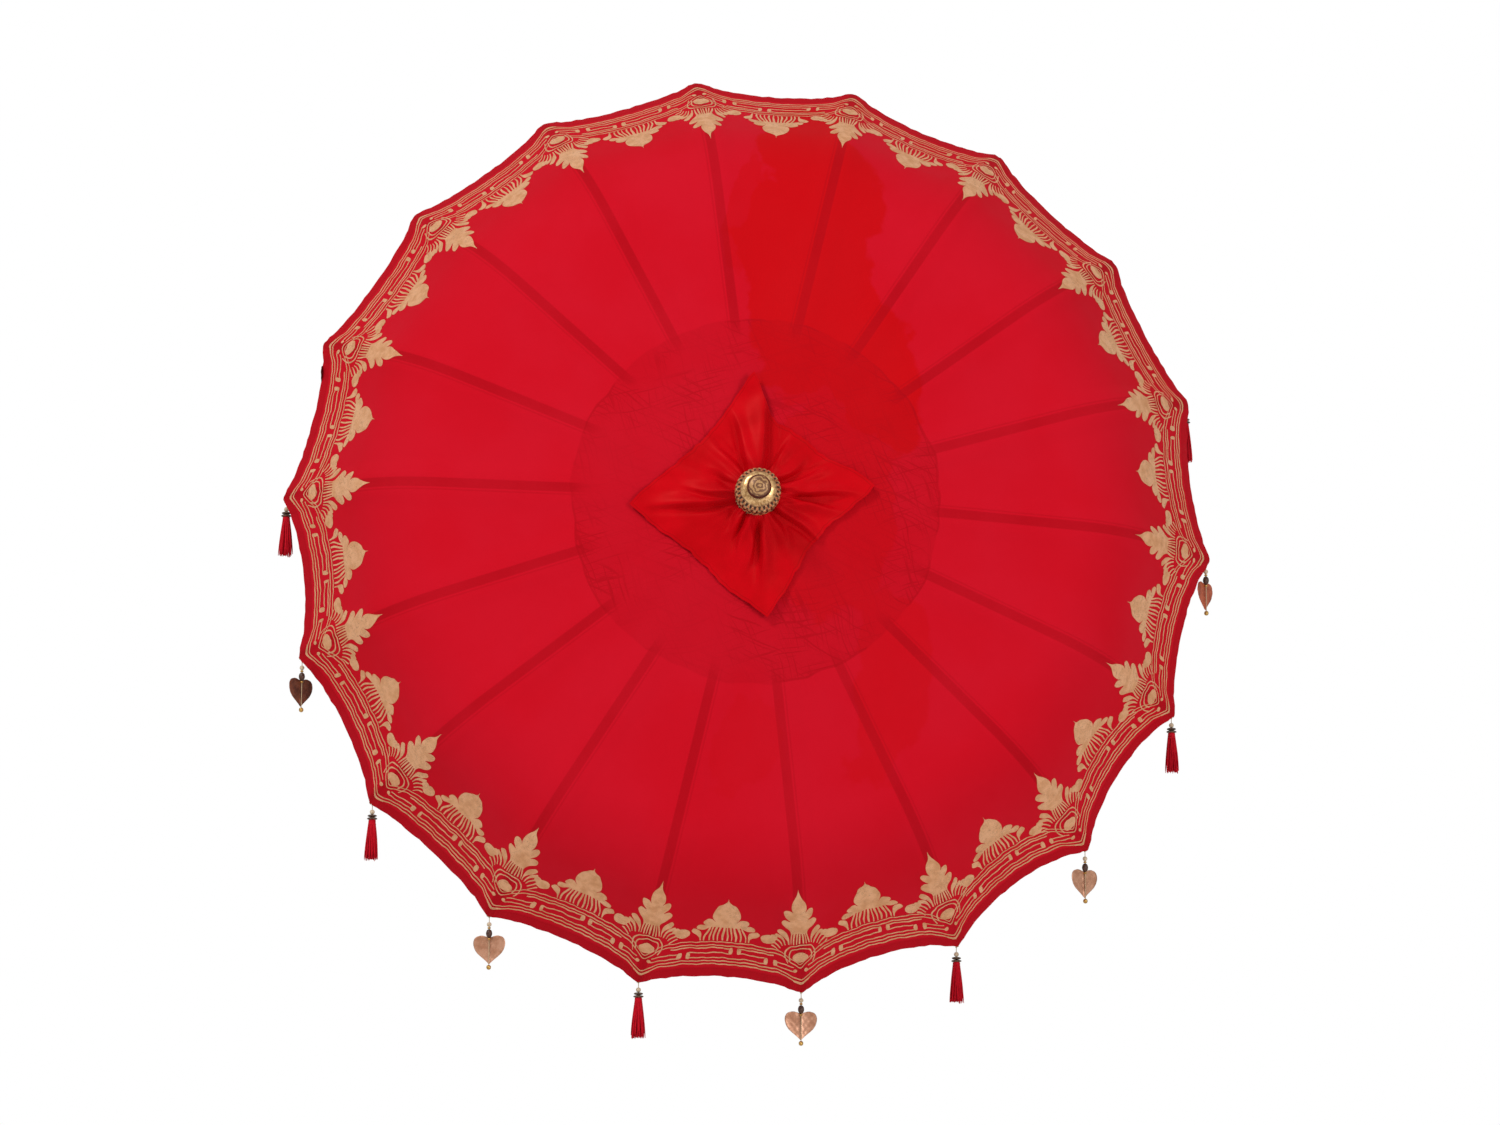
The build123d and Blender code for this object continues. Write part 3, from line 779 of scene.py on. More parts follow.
# right halves of the two leaves, from the tip down: (out, up)
RIB_LEAF = [(0, 288), (1.2, 280), (4, 271), (9, 263), (14, 254), (16, 245), (15.5, 236), (12.5, 229),
            (18, 234), (25, 236), (31, 233), (32, 226), (28, 217), (19, 207),
            (27, 208), (34, 206), (38, 200), (36, 193), (29, 186), (22, 181), (18, 175), (17, 170)]
MID_LEAF = [(0, 224), (1.5, 216), (8, 211), (18, 205), (26, 195), (30, 182), (29, 171), (22, 160),
            (30, 167), (39, 168), (47, 164), (49, 157), (41, 149), (30, 147),
            (42, 151), (54, 152), (61, 147), (59, 140), (49, 138), (38, 142), (30, 144)]


def rib_motif(shapes):
    """Leaf, fan, ringed oval and side lobes over a rib."""
    shapes.append(("leaf", RIB_LEAF, 0.0, 1, 0))
    for i in range(-3, 4):
        stroke(shapes, [(6.3 * i, 141), (5.8 * i, 156), (4.6 * i, 176)], (2.2, 3.0, 3.3))
    lobes = (([(24, 139), (25, 151), (30, 163), (40, 174)], (2.2, 3, 8, 15, 13)),
             ([(30, 136), (33, 147), (39, 156), (48, 161)], (2.2, 3, 5, 9, 8)),
             ([(36, 132), (40, 141), (47, 148), (57, 151)], (2.2, 3, 4, 6)),
             ([(41, 125), (46, 133), (54, 140)], (2.2, 3, 5)),
             ([(44, 116), (50, 124), (58, 130)], (2.0, 2.8, 4)))
    for side in (-1, 1):
        for points, widths in lobes:
            stroke(shapes, [(side * x, y) for x, y in points], widths)
        blob(shapes, side * 54, 153, 9, 8, side * 25, 1)
        blob(shapes, side * 67, 146, 15, 13, side * 8, 2)
    blob(shapes, 0, 101, 16, 14.5, 0, 1)
    stroke(shapes, [(-20, 92), (-22, 108), (-18, 121), (-8, 126),
                    (8, 126), (18, 121), (22, 108), (20, 92)], (2.4, 2.7, 2.4))
    stroke(shapes, [(-25, 84), (-30, 103), (-28, 121), (-18, 133), (0, 136),
                    (18, 133), (28, 121), (30, 103), (25, 84)], (2.2, 2.9, 2.9, 2.2))
    for x, y in ((-10.5, 62), (10.5, 64)):
        blob(shapes, x, y, 4, 5)


def mid_motif(shapes, x):
    """Palmette on a comb, half way between two ribs, drawn in from the hem."""
    shapes.append(("leaf", MID_LEAF, x, 1, 1))
    for i in range(10):
        k = i - 4.5
        bow = 0.9 if k > 0 else -0.9
        line = [(x + 9.4 * k, 106), (x + 9.2 * k + bow, 119), (x + 8.2 * k, 134), (x + 6.6 * k, 151)]
        stroke(shapes, line, (2.6, 3.7, 4.0, 4.2), 1)
    for side in (-1, 1):
        line = [(x + side * 50, 106), (x + side * 52, 118), (x + side * 57, 128), (x + side * 65, 134)]
        stroke(shapes, line, (2.6, 3.6, 9, 15, 13), 1)


# the broken key pattern: dashes as (from, to, y, width) and the short blocks that turn them, as (x, from, to)
DASHES = ((14, 64, 54.5, 3.2), (16, 66, 66.5, 3.2), (88, 238, 54.5, 3.0), (88, 168, 69, 3.2),
          (52, 168, 83.5, 3.6), (188, 258, 83.5, 3.6), (188, 238, 70, 3.2),
          (262, 298, 67, 3.2), (264, 300, 55, 3.2))
BLOCKS = ((68, 54.5, 67), (86, 54.5, 67), (170, 71, 83), (188, 71, 83), (242, 55, 68), (262, 56, 68))


def hem_lines(shapes, x):
    """Lines and broken key pattern of the gore right of x, drawn y in from the hem itself."""
    for y, width in ((36, 3.4), (45, 3.2), (91, 3.0), (101, 2.6)):
        line = [(x + GORE * k / 12, y) for k in range(13)]
        stroke(shapes, line, (width, width * 0.85, width * 1.1, width), 1)
    for start, end, y, width in DASHES:
        count = max(2, int((end - start) / 26))
        line = [(x + start + (end - start) * k / count, y) for k in range(count + 1)]
        stroke(shapes, line, (width, width * 0.85, width * 1.05, width * 0.9), 1)
    for start, low, high in BLOCKS:
        stroke(shapes, [(x + start, low), (x + start + 0.8, high)], (7, 8.5, 7), 1)
    stroke(shapes, [(x - 15, 34), (x, 32.5), (x + 15, 34)], (2.2, 2.8, 2.2), 1)


def leaf_rows(outline, x):
    """A leaf's outline as one polygon, smoothed."""
    right = smooth_line(outline, 2.5)
    left = right[::-1] * np.array([-1, 1])
    return np.concatenate([right, left[:-1]]) + np.array([x, 0])


def border(rib):
    """The gold border of one panel."""
    shapes = []
    rib_motif(shapes)
    for x in (-GORE / 2, GORE / 2):
        mid_motif(shapes, x)
    for x in (-GORE, 0):
        hem_lines(shapes, x)
    bm = bmesh.new()
    lift_layer = bm.verts.layers.float.new("lift")
    hem_layer = bm.verts.layers.float.new("from_hem")

    def vertices(outline, lift, from_hem):
        added = []
        for at_x, at_y in outline:
            v = bm.verts.new((at_x, at_y, 0))
            v[lift_layer] = lift
            v[hem_layer] = from_hem
            added.append(v)
        return added

    def cut(at, way, **options):
        bmesh.ops.bisect_plane(bm, geom=bm.verts[:] + bm.edges[:] + bm.faces[:], dist=1e-4, plane_co=at,
                               plane_no=way, **options)

    for shape in shapes:
        if isinstance(shape[0], str):
            _, outline, at_x, lift, from_hem = shape
            face = bm.faces.new(vertices(leaf_rows(outline, at_x), lift, from_hem))
            bmesh.ops.triangulate(bm, faces=[face])
            continue
        left, right, lift, from_hem = shape
        a = vertices(left, lift, from_hem)
        b = vertices(right, lift, from_hem)
        for i in range(len(a) - 1):
            bm.faces.new((a[i], b[i], b[i + 1], a[i + 1]))
    # cut up finely enough to follow the cloth, then off at the panel's edges
    for at_x in list(range(-150, 151, 15)) + [-8, -4, 4, 8]:
        cut((at_x, 0, 0), (1, 0, 0))
    for at_y in range(102, 290, 9):
        cut((0, at_y, 0), (0, 1, 0))
    for side in (-1, 1):
        cut((side * GORE / 2, 0, 0), (side, 0, 0), clear_outer=True)
    bmesh.ops.triangulate(bm, faces=[f for f in bm.faces if len(f.verts) > 4])
    flat = np.array([v.co[:2] for v in bm.verts])
    lift = np.array([v[lift_layer] for v in bm.verts])
    from_hem = np.array([v[hem_layer] for v in bm.verts])
    x, y = flat[:, 0], flat[:, 1]
    inside = np.abs(x) < GORE / 2 - 0.01
    turn = rib + x / GORE
    # the brush wanders a little, in the same way on both sides of a panel's edge
    wave = 0.8 * np.sin(117 * LAP * turn + y / 9) + 0.6 * np.sin(266 * LAP * turn + y / 23 + 1.3)
    wave_2 = 0.9 * np.sin(163 * LAP * turn + y / 17 + 0.6) + 0.5 * np.sin(375 * LAP * turn - y / 31)
    y = y + wave
    turn = turn + np.where(inside, wave_2 / GORE, 0)
    dip = 1 - np.exp(-((x / 24.0)**2))
    y_line = np.where(y < 50, y - 9 * (1 - dip), np.where(y > 87, y - 19 * (1 - dip), y))
    hem_at = hem_s(turn)
    s = np.where(from_hem > 0.5, hem_at - y_line / 1000, S_TIP - y / 1000)
    s = np.minimum(s, hem_at - 0.004)
    points, n = cloth_at(s, turn, 0)
    points = points + n * (CLOTH_T / 2 + PAINT_LIFT + LAYER_LIFT * lift)[:, None]
    for v, p in zip(bm.verts, points):
        v.co = p
    bm.normal_update()
    for f in bm.faces:
        f.smooth = True
        if f.normal.dot(Vector(n[f.verts[0].index])) < 0:
            f.normal_flip()
    bm.verts.index_update()
    mesh = bpy.data.meshes.new(f"gold_border_{rib + 1:02d}")
    bm.to_mesh(mesh)
    bm.free()
    for polygon in mesh.polygons:
        polygon.use_smooth = True
    mesh.normals_split_custom_set(n[corner_vertices(mesh)].tolist())
    r, _, _ = meridian(s)
    add_flat_map(mesh, np.stack([(turn - rib) * 2 * r * sin(HALF), s], -1))
    piece = new_object(mesh.name, mesh, rib_body(rib), PAINT)
    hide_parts("canopy")
    return piece


# ---- topper: a square of satin with its corners free ----
# how far each side lies inside the straight line between its corners, from the right corner round:
# share of the way and depth (m)
TOPPER_SIDES = (((0, 0), (0.1, 0.001), (0.35, 0.026), (0.55, 0.029), (0.73, 0.042), (0.86, 0.022),
                 (0.94, 0.006), (1, 0)),
                ((0, 0), (0.16, 0.006), (0.33, 0.015), (0.42, 0.019), (0.56, 0.016), (0.72, 0.009),
                 (0.9, 0.001), (1, 0)),
                ((0, 0), (0.17, -0.004), (0.42, 0.002), (0.62, -0.004), (0.74, -0.008), (0.88, -0.003),
                 (1, 0)),
                ((0, 0), (0.16, 0.003), (0.30, 0.010), (0.42, 0.018), (0.62, 0.020), (0.76, 0.009),
                 (0.9, 0.001), (1, 0)))
# creases: azimuth in degrees, from and to (m), half width (m), height (m)
CREASES = ((2.5, 0.03, 0.165, 0.0065, 0.0105), (-7.5, 0.03, 0.140, 0.0055, 0.0100),
           (-34, 0.04, 0.140, 0.0055, 0.0080), (-60, 0.03, 0.095, 0.0060, 0.0060),
           (-84, 0.03, 0.150, 0.0065, 0.0100), (-97, 0.03, 0.125, 0.0055, 0.0095),
           (-107, 0.03, 0.105, 0.0050, 0.0080), (-130, 0.03, 0.085, 0.0070, 0.0055),
           (187, 0.03, 0.185, 0.0070, 0.0090), (173, 0.03, 0.120, 0.0065, 0.0080),
           (150, 0.03, 0.090, 0.0080, 0.0055), (128, 0.03, 0.130, 0.0080, 0.0070),
           (106, 0.03, 0.150, 0.0060, 0.0085), (84, 0.03, 0.205, 0.0110, 0.0130),
           (62, 0.03, 0.120, 0.0065, 0.0070), (38, 0.03, 0.105, 0.0070, 0.0060),
           (20, 0.03, 0.130, 0.0055, 0.0075))
CREASE_DEPTH = 1.45       # makes every crease this much taller
CORNER_RISE = (0.006, 0.014, 0.006, 0.009)
NECK_R = 0.034            # the satin is gathered here
SATIN_T = 0.0006
SATIN_CLEAR = 0.0010      # the satin never comes closer to the canopy than this


def wrapped(angle):
    """The same angle between -pi and pi."""
    return (angle + pi) % (2 * pi) - pi


def topper_outline():
    """Azimuth and radius of the square's edge, as two arrays."""
    edge = []
    share = np.linspace(0, 1, 60, endpoint=False)
    for k, side in enumerate(TOPPER_SIDES):
        start, end = (reach * np.array([cos(radians(a)), sin(radians(a))])
                      for reach, a in (TOPPER_CORNERS[k], TOPPER_CORNERS[(k + 1) % 4]))
        inward = -(start + end) / np.linalg.norm(start + end)
        depth = np.mean([np.interp(share + d, *zip(*side)) for d in np.linspace(-0.05, 0.05, 9)], 0)
        edge += [start + u * (end - start) + inward * deep for u, deep in zip(share, depth)]
    edge = np.array(edge)
    azimuth = np.unwrap(np.arctan2(edge[:, 1], edge[:, 0]))
    radius = np.hypot(edge[:, 0], edge[:, 1])
    radius += 0.0011 * np.sin(19 * azimuth + 2 * np.sin(5 * azimuth)) + 0.0007 * np.sin(47 * azimuth)
    return np.concatenate([azimuth - 2 * pi, azimuth, azimuth + 2 * pi]), np.tile(radius, 3)


OUTLINE = topper_outline()


def topper_edge(azimuth):
    return np.interp(wrapped(azimuth), *OUTLINE)


def topper_folds(r, azimuth):
    """Height of the satin above the canopy."""
    edge = topper_edge(azimuth)
    from_neck = np.maximum(r - NECK_R, 0)
    height = 0.0012 + 0.0042 * np.exp(-from_neck / 0.085)
    gather = 0.5 + 0.5 * np.sin(17 * azimuth + 2.2 * np.sin(3 * azimuth + 0.4))
    height = height + 0.0045 * gather * np.exp(-from_neck / 0.022)
    gather_2 = 0.5 + 0.5 * np.sin(29 * azimuth + 1.8 * np.sin(5 * azimuth))
    height = height + 0.0016 * gather_2 * np.exp(-from_neck / 0.05)
    for degrees_at, low, high, width, tall in CREASES:
        away = wrapped(azimuth - radians(degrees_at))
        ahead = np.cos(away) > 0
        bend = 0.006 * np.sin((r - low) / (high - low) * pi * 0.9 + degrees_at)
        off = r * np.sin(away) + bend * smooth_step(r, low, high)
        # one flank of each crease is steep, the other long, with a valley along the steep one
        flank = cos(3 * degrees_at)
        spread = np.where(off * flank > 0, width * 2.2, width * 0.8)
        ridge = np.exp(-(off / spread)**2) * ahead
        valley = 0.55 * np.exp(-((off + np.sign(flank) * 1.9 * width) / (0.9 * width))**2) * ahead
        reach = smooth_step(r, low - 0.02, low + 0.01) * (1 - smooth_step(r, high * 0.6, high * 1.25))
        height = height + CREASE_DEPTH * tall * (ridge - valley) * reach
    for (reach, at), tall in zip(TOPPER_CORNERS, CORNER_RISE):
        apart = np.sqrt(r**2 + reach**2 - 2 * r * reach * np.cos(azimuth - radians(at)))
        height = height + tall * np.exp(-(apart / 0.045)**2)
    rim = np.exp(-(edge - r) / 0.016)
    height = height + 0.0016 * rim * (0.5 + 0.5 * np.sin(23 * azimuth + 2 * np.sin(4 * azimuth)))
    broad = np.sin(60 * r + 3 * np.sin(2 * azimuth)) * np.sin(5 * azimuth + 30 * r)
    height = height + 0.0012 * (1 + broad) * smooth_step(r, 0.05, 0.1)
    soft = 0.0006
    return SATIN_CLEAR + np.logaddexp(0, (height - SATIN_CLEAR) / soft) * soft


def topper_place(r, azimuth):
    """Points of the satin's middle."""
    turn = (azimuth - PHASE) / STEP
    off_rib = np.abs(turn - np.floor(turn + 0.5)) * STEP
    at_rib = r * np.cos(HALF - off_rib) / cos(HALF)
    s = np.where(at_rib < FLAT_R, at_rib, FLAT_R + (at_rib - FLAT_R) / cos(SLOPE_IN))
    points = smooth_cloth(s, turn)
    height = CLOTH_T / 2 + topper_folds(r, azimuth)
    return points + outward(SLOPE_IN + 0 * azimuth, azimuth) * height[..., None]


def topper_piece(name, body, r, azimuth):
    """One closed piece of the topper on a grid of radii and azimuths."""
    n = cross_normal(topper_place, r, azimuth, 0.0008, 0.004)
    place = topper_place(r, azimuth)
    edge = topper_edge(azimuth) - r
    roll = 0.0008 * (1 - smooth_step(edge, 0.004, 0.0065))[..., None]
    mesh = sheet_mesh(name, place + n * (SATIN_T + roll), place, n,
                      np.stack([r * np.cos(azimuth), r * np.sin(azimuth)], -1), {"edge": edge})
    piece = new_object(name, mesh, body, SATIN)
    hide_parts("topper")
    return piece


def topper_grid(rib):
    """Radii and azimuths of the satin over one rib, out to the square's edge."""
    low = PHASE + (rib - 0.5) * STEP
    lines = set(np.linspace(low, low + STEP, 37).round(6))
    for _, at in TOPPER_CORNERS:
        corner = low + (radians(at) - low) % (2 * pi)
        if corner < low + STEP:
            lines.add(round(corner, 6))
    share, azimuth = np.meshgrid(np.linspace(0, 1, 76), sorted(lines), indexing="ij")
    return CENTRE_R + share * (topper_edge(azimuth) - CENTRE_R), azimuth


def topper_sector(rib):
    r, azimuth = topper_grid(rib)
    return topper_piece(f"topper_sector_{rib + 1:02d}", rib_body(rib), r, azimuth)


def topper_cut(rib):
    """Flat width and length of one sector's cut, and its area, with the folds pulled out."""
    points = topper_place(*topper_grid(rib))
    along, across = np.diff(points, axis=0), np.diff(points, axis=1)
    area = np.linalg.norm(np.cross(along[:, :-1], across[:-1]), axis=-1).sum()
    length = np.linalg.norm(along, axis=-1).sum(0).max()
    width = np.linalg.norm(across, axis=-1).sum(1).max()
    return (float(width), float(length)), float(area)


# ---- finial: heights and radii in mm, height from its foot ----
FOOT_RIBS = 44
PETALS = 24               # in each of the two rows on the swell
DOTS = 27
DOTS_LOW, DOTS_HIGH = 60.5, 68.5


def finial_profile():
    """(radius, height) points up the turned finial, in mm, and how dark each is: painted shade on the foot,
    under the swell and in the neck's groove, over the body's own darker wood.
    """
    parts = [([(0, 0), (37, 0)], 0, 1.0), ([(37, 0), (41, 3), (41, 9), (38, 12)], 0, 0.9),
             ([(38, 12), (41, 22), (42, 36), (42, 50)], 1, 0.86),
             ([(42, 50), (41.4, 56), (39.4, 61)], 1, 0.50),
             ([(39.4, 61), (36.6, 65.8), (33.6, 69.6)], 1, 0.04),
             ([(33.6, 69.6), (32.7, 70.4)], 0, 0.55),
             ([(32.7, 70.4), (28.5, 73.8), (23.5, 75.7), (19.5, 76.4)], 1, 0.0),
             ([(19.5, 76.4), (16, 76), (15.5, 79), (18, 82)], 0, 1.0)]
    rows = []
    for points, smooth, dark in parts:
        if smooth:
            line = smooth_line(points, 0.9)
        else:
            line = [np.array(a, float) + (np.array(b, float) - a) * k / 4
                    for a, b in zip(points, points[1:]) for k in range(5)]
        rows += [(p[0], p[1], dark) for p in line]
    return rows


def lathe(name, rows, columns, material, carve):
    """A closed turned piece on the pole's axis, from rows of (radius, height, darkness); the darkness paints
    shade and is stored as a vertex attribute.

    carve(radius, height, azimuth) gives what to add to the radius and to the darkness there.
    """
    kept = [rows[0]]
    for row in rows[1:]:
        if hypot(row[0] - kept[-1][0], row[1] - kept[-1][1]) > 0.05:
            kept.append(row)
    vertices = []
    shade_and_dark_wood = []
    for r, h, dark in kept:
        for a in np.linspace(0, 2 * pi, columns, endpoint=False):
            more_r, more_dark = carve(r, h, a)
            out = (r + more_r) / 1000
            vertices.append((out * cos(a), -PIVOT_Y - FINIAL_LOW - h / 1000, out * sin(a)))
            shade_and_dark_wood.append(min(1, max(0, dark + more_dark)))
    mesh = bpy.data.meshes.new(name)
    mesh.from_pydata(vertices, [], ring_faces(len(kept), columns))
    add_attribute(mesh, "shade_and_dark_wood", shade_and_dark_wood)
    face_outward(mesh)
    for polygon in mesh.polygons:
        polygon.use_smooth = len(polygon.vertices) == 4
    piece = new_object(name, mesh, "pole_assembly", material)
    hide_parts("finial")


def carved(r, h, a):
    """Carving on the finial: ribs round the foot, petals on the swell, notches and dots above them.

    Its darkness is mostly painted shade in their grooves and holes and round the knob's neck, with a few
    darker streaks on the top plate.
    """
    if 1 < h < 11:
        rib = sin(a * FOOT_RIBS)
        return 0.5 * rib, -0.35 * max(0, rib)
    if 13 < h < 45:
        row = 0 if h < 29 else 1
        petal = abs(sin(a * PETALS / 2 + row * pi / 2))
        ridge = 1 if petal > 0.30 + 0.6 * ((h - 13) / 16 % 1) else 0
        return 0.9 * ridge - 0.4, -0.50 * ridge
    if 50 < h < 60:
        petal = abs(sin(a * DOTS / 2))
        return 0.5 * petal, 0.5 - 0.7 * petal
    if DOTS_LOW < h < DOTS_HIGH:
        reach = abs((a * DOTS / (2 * pi)) % 1 - 0.5) * 2
        inside = reach < 0.34 + 0.34 * (h - DOTS_LOW) / (DOTS_HIGH - DOTS_LOW)
        return (-1.8, 1.0) if inside else (0, 0)
    if h > 67 and r < 33:
        streak = 0.35 * max(0, sin(a * 5 + 1.0)) * max(0, sin(h * 1.9))
        return 0.15 * sin(a * 7 + h), streak + 0.9 * max(0, 1 - (r - 18.8) / 3.4)
    return 0, 0


def knob_ripple(_, h, a):
    return 0.25 * sin(3 * a + h / 6) + 0.15 * sin(5 * a - h / 4), 0


def build_finial():
    lathe("finial_base", finial_profile(), 378, GILT, carved)
    knob_line = smooth_line([(18, 82), (20.8, 84.5), (22.3, 88), (22.3, 92), (20.4, 97), (16, 100.8),
                             (9, 103.2), (2.5, 104), (0.3, 104)], 0.8)
    # painted shade: the knob's foot and its side below the face are darkened
    rows = [(0.3, 80.5, 1), (16.5, 80.5, 1)]
    rows += [(p[0], p[1], max(0, min(0.9, (99.5 - p[1]) / 3))) for p in knob_line]
    lathe("finial_knob", rows, 120, KNOB, knob_ripple)


# ---- charms ----
class Charm:
    """Collects the parts of one hanging charm; x, y, z in mm from its hole in the rib."""

    def __init__(self, hole):
        self.hole = np.array(hole)
        self.vertices = []
        self.faces = []
        self.slots = []

    def part(self, vertices, faces, slot):
        first = len(self.vertices)
        self.vertices += [tuple(v) for v in vertices]
        self.faces += [tuple(first + i for i in f) for f in faces]
        self.slots += [slot] * len(faces)

    def turned(self, rows, slot, columns=24):
        """Closed piece turned about the charm's own line; rows of (radius, z)."""
        angles = [2 * pi * j / columns for j in range(columns)]
        vertices = [(r * cos(a), r * sin(a), z) for r, z in rows for a in angles]
        self.part(vertices, ring_faces(len(rows), columns), slot)

    def bead(self, z, r, height, slot, hole=0.9, columns=24):
        """A turned bead centred on z."""
        rows = []
        for k in range(13):
            t = -pi / 2 + pi * k / 12
            up = height / 2 * np.sign(sin(t)) * abs(sin(t))**1.2
            rows.append((max(hole, r * abs(cos(t))**0.7), z + up))
        self.turned(rows, slot, columns)

    def tube(self, points, r, slot, sides=6):
        """A tube along points, closed at both ends; r is one radius or one for each point."""
        p = np.array(points, float)
        radii = np.broadcast_to(np.array(r, float), len(p))
        way = np.gradient(p, axis=0)
        way /= np.linalg.norm(way, axis=1, keepdims=True)
        vertices = []
        for at, d, radius in zip(p, way, radii):
            u = np.cross(d, (1.0, 0.3, 0.1))
            u /= np.linalg.norm(u)
            w = np.cross(d, u)
            for j in range(sides):
                a = 2 * pi * j / sides
                vertices.append(at + radius * (cos(a) * u + sin(a) * w))
        self.part(vertices, [f[::-1] for f in ring_faces(len(p), sides)], slot)

    def build(self, name, materials):
        """Makes one piece of every part, in place of the CAD node of that name."""
        mesh = bpy.data.meshes.new(name + "_detail")
        mesh.from_pydata((np.array(self.vertices) / 1000 + self.hole).tolist(), [], self.faces)
        for polygon, index in zip(mesh.polygons, self.slots):
            polygon.material_index = index
            polygon.use_smooth = True
        face_outward(mesh)
        piece = new_object(mesh.name, mesh, name, *materials)
        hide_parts(name)


def thread_loop(charm, slot, bottom):
    """The thread from the rib's hole down, with its knot round the rib's end."""
    sway = rng.uniform(-0.5, 0.5)
    points = [(sway * sin(pi * t), 0.3 * sin(5 * t), bottom * t) for t in np.linspace(0, 1, 12)]
    charm.tube(points, 0.75, slot)
    charm.bead(-6.5, 1.9, 3.4, slot, 0.5, 10)


SKIRT_TOP = -37
STRANDS = 74
GOLDEN_ANGLE = 2.39996


def build_tassel(name, hole):
    charm = Charm(hole)
    thread, bead, rings, skirt = range(4)
    thread_loop(charm, thread, -36)
    charm.bead(-20.5, 4.8, 9, bead)
    charm.bead(-27.8, 9.0, 5.2, rings, 1.0, 32)
    charm.bead(-33.2, 10.0, 5.2, rings, 1.0, 32)
    head = [(0.5, -34.5), (6.2, -35), (7.2, -37.5), (7.0, -41), (6.6, -44), (6.8, -47), (0.5, -48)]
    charm.turned(head, skirt)
    for k in range(STRANDS):
        share = sqrt((k + 0.5) / STRANDS)
        a = k * GOLDEN_ANGLE + rng.uniform(-0.2, 0.2)
        top_r = 6.0 * share
        low_r = 13.6 * share + rng.uniform(-1.2, 1.0)
        end = -111 + rng.uniform(-3.5, 6.0) * share
        drift = rng.uniform(-0.16, 0.16)
        points = []
        for t in np.linspace(0, 1, 9):
            r = top_r + (low_r - top_r) * t**1.15 + 0.9 * sin(pi * t)
            turn = a + drift * t + 0.05 * sin(7 * t + k)
            points.append((r * cos(turn), r * sin(turn), SKIRT_TOP + (end - SKIRT_TOP) * t))
        charm.tube(points, [1.05, 1.15, 1.2, 1.2, 1.2, 1.2, 1.15, 1.05, 0.6], skirt, 5)
    binding = [(6.9 * cos(a), 6.9 * sin(a), -43.5 - 0.7 * a / 6.28) for a in np.linspace(0, 4 * pi, 60)]
    charm.tube(binding, 0.8, skirt, 5)
    charm.build(name, (CREAM_THREAD, CREAM, DARK_RING, RED_YARN))


def bezier(a, b, c, d, count=10):
    for k in range(count):
        t = k / count
        yield tuple((1 - t)**3 * p + 3 * t * (1 - t)**2 * q + 3 * t * t * (1 - t) * r + t**3 * s
                    for p, q, r, s in zip(a, b, c, d))


HEART_HALF = [[(0, -9), (4, 0), (18, 1.5), (26, -3)], [(26, -3), (36, -9), (33, -26), (24, -36)],
              [(24, -36), (16, -44), (6, -50), (0, -58)]]
HEART_TOP = -41
HEART_SIZE = 0.97
# how far each plate has turned round its thread, and which are tarnished dark
HEART_TURNS = {"heart_04": 78, "heart_06": 48, "heart_08": -12, "heart_10": 6, "heart_12": 32, "heart_14": 54,
               "heart_16": 88}
TARNISHED = {"heart_04": DARK_COPPER, "heart_06": DARK_COPPER, "heart_14": RED_COPPER}


def heart_plate(charm, slot, bend, phase, turn):
    """Thin copper leaf: a heart with a bent face, a vein and cut edges."""
    low = HEART_HALF[-1][-1][1]
    half = [p for curve in HEART_HALF for p in bezier(*curve)] + [(0, low)]
    half = half[2:]
    top = max(p[1] for p in half)
    rows = 26
    grid = []
    for i in range(rows + 1):
        z = low + (top - low) * i / rows
        z = min(max(z, low + 0.25), top - 0.15)
        cross = []
        for a, b in zip(half, half[1:]):
            if (a[1] - z) * (b[1] - z) <= 0 and abs(a[1] - b[1]) > 1e-9:
                cross.append(a[0] + (b[0] - a[0]) * (z - a[1]) / (b[1] - a[1]))
        inner, outer = (min(cross), max(cross)) if len(cross) > 1 else (0.0, cross[0])
        if z < -9:
            inner = 0.0
        grid.append((z, inner, outer))
    columns = 12
    vertices = []
    faces = []
    for side in (-1, 1):
        for front in (False, True):
            first = len(vertices)
            for z, inner, outer in grid:
                for j in range(columns + 1):
                    x = side * (inner + (outer - inner) * j / columns)
                    dome = bend * (1 - (x / 36)**2) * (1 - ((z + 26) / 40)**2)
                    vein = 1.1 * exp(-(x / 1.6)**2)
                    ruffle = 0.35 * sin(x * 0.55 + phase) * sin(z * 0.45 + 2 * phase)
                    depth = dome - vein + ruffle
                    y = 2.2 + depth - (0.55 if front else 0)
                    x_at = HEART_SIZE * x
                    vertices.append((x_at * cos(turn) - y * sin(turn), x_at * sin(turn) + y * cos(turn),
                                     HEART_TOP + HEART_SIZE * z))
            for quad in grid_faces(rows + 1, columns + 1):
                quad = tuple(first + i for i in quad)
                faces.append(quad if front else quad[::-1])
        size = (rows + 1) * (columns + 1)
        base = len(vertices) - 2 * size
        ring = list(range(columns + 1)) + [i * (columns + 1) + columns for i in range(1, rows + 1)]
        ring += [rows * (columns + 1) + j for j in range(columns - 1, -1, -1)]
        ring += [i * (columns + 1) for i in range(rows - 1, 0, -1)]
        for a, b in zip(ring, ring[1:] + ring[:1]):
            faces.append((base + a, base + b, base + size + b, base + size + a))
    charm.part(vertices, faces, slot)


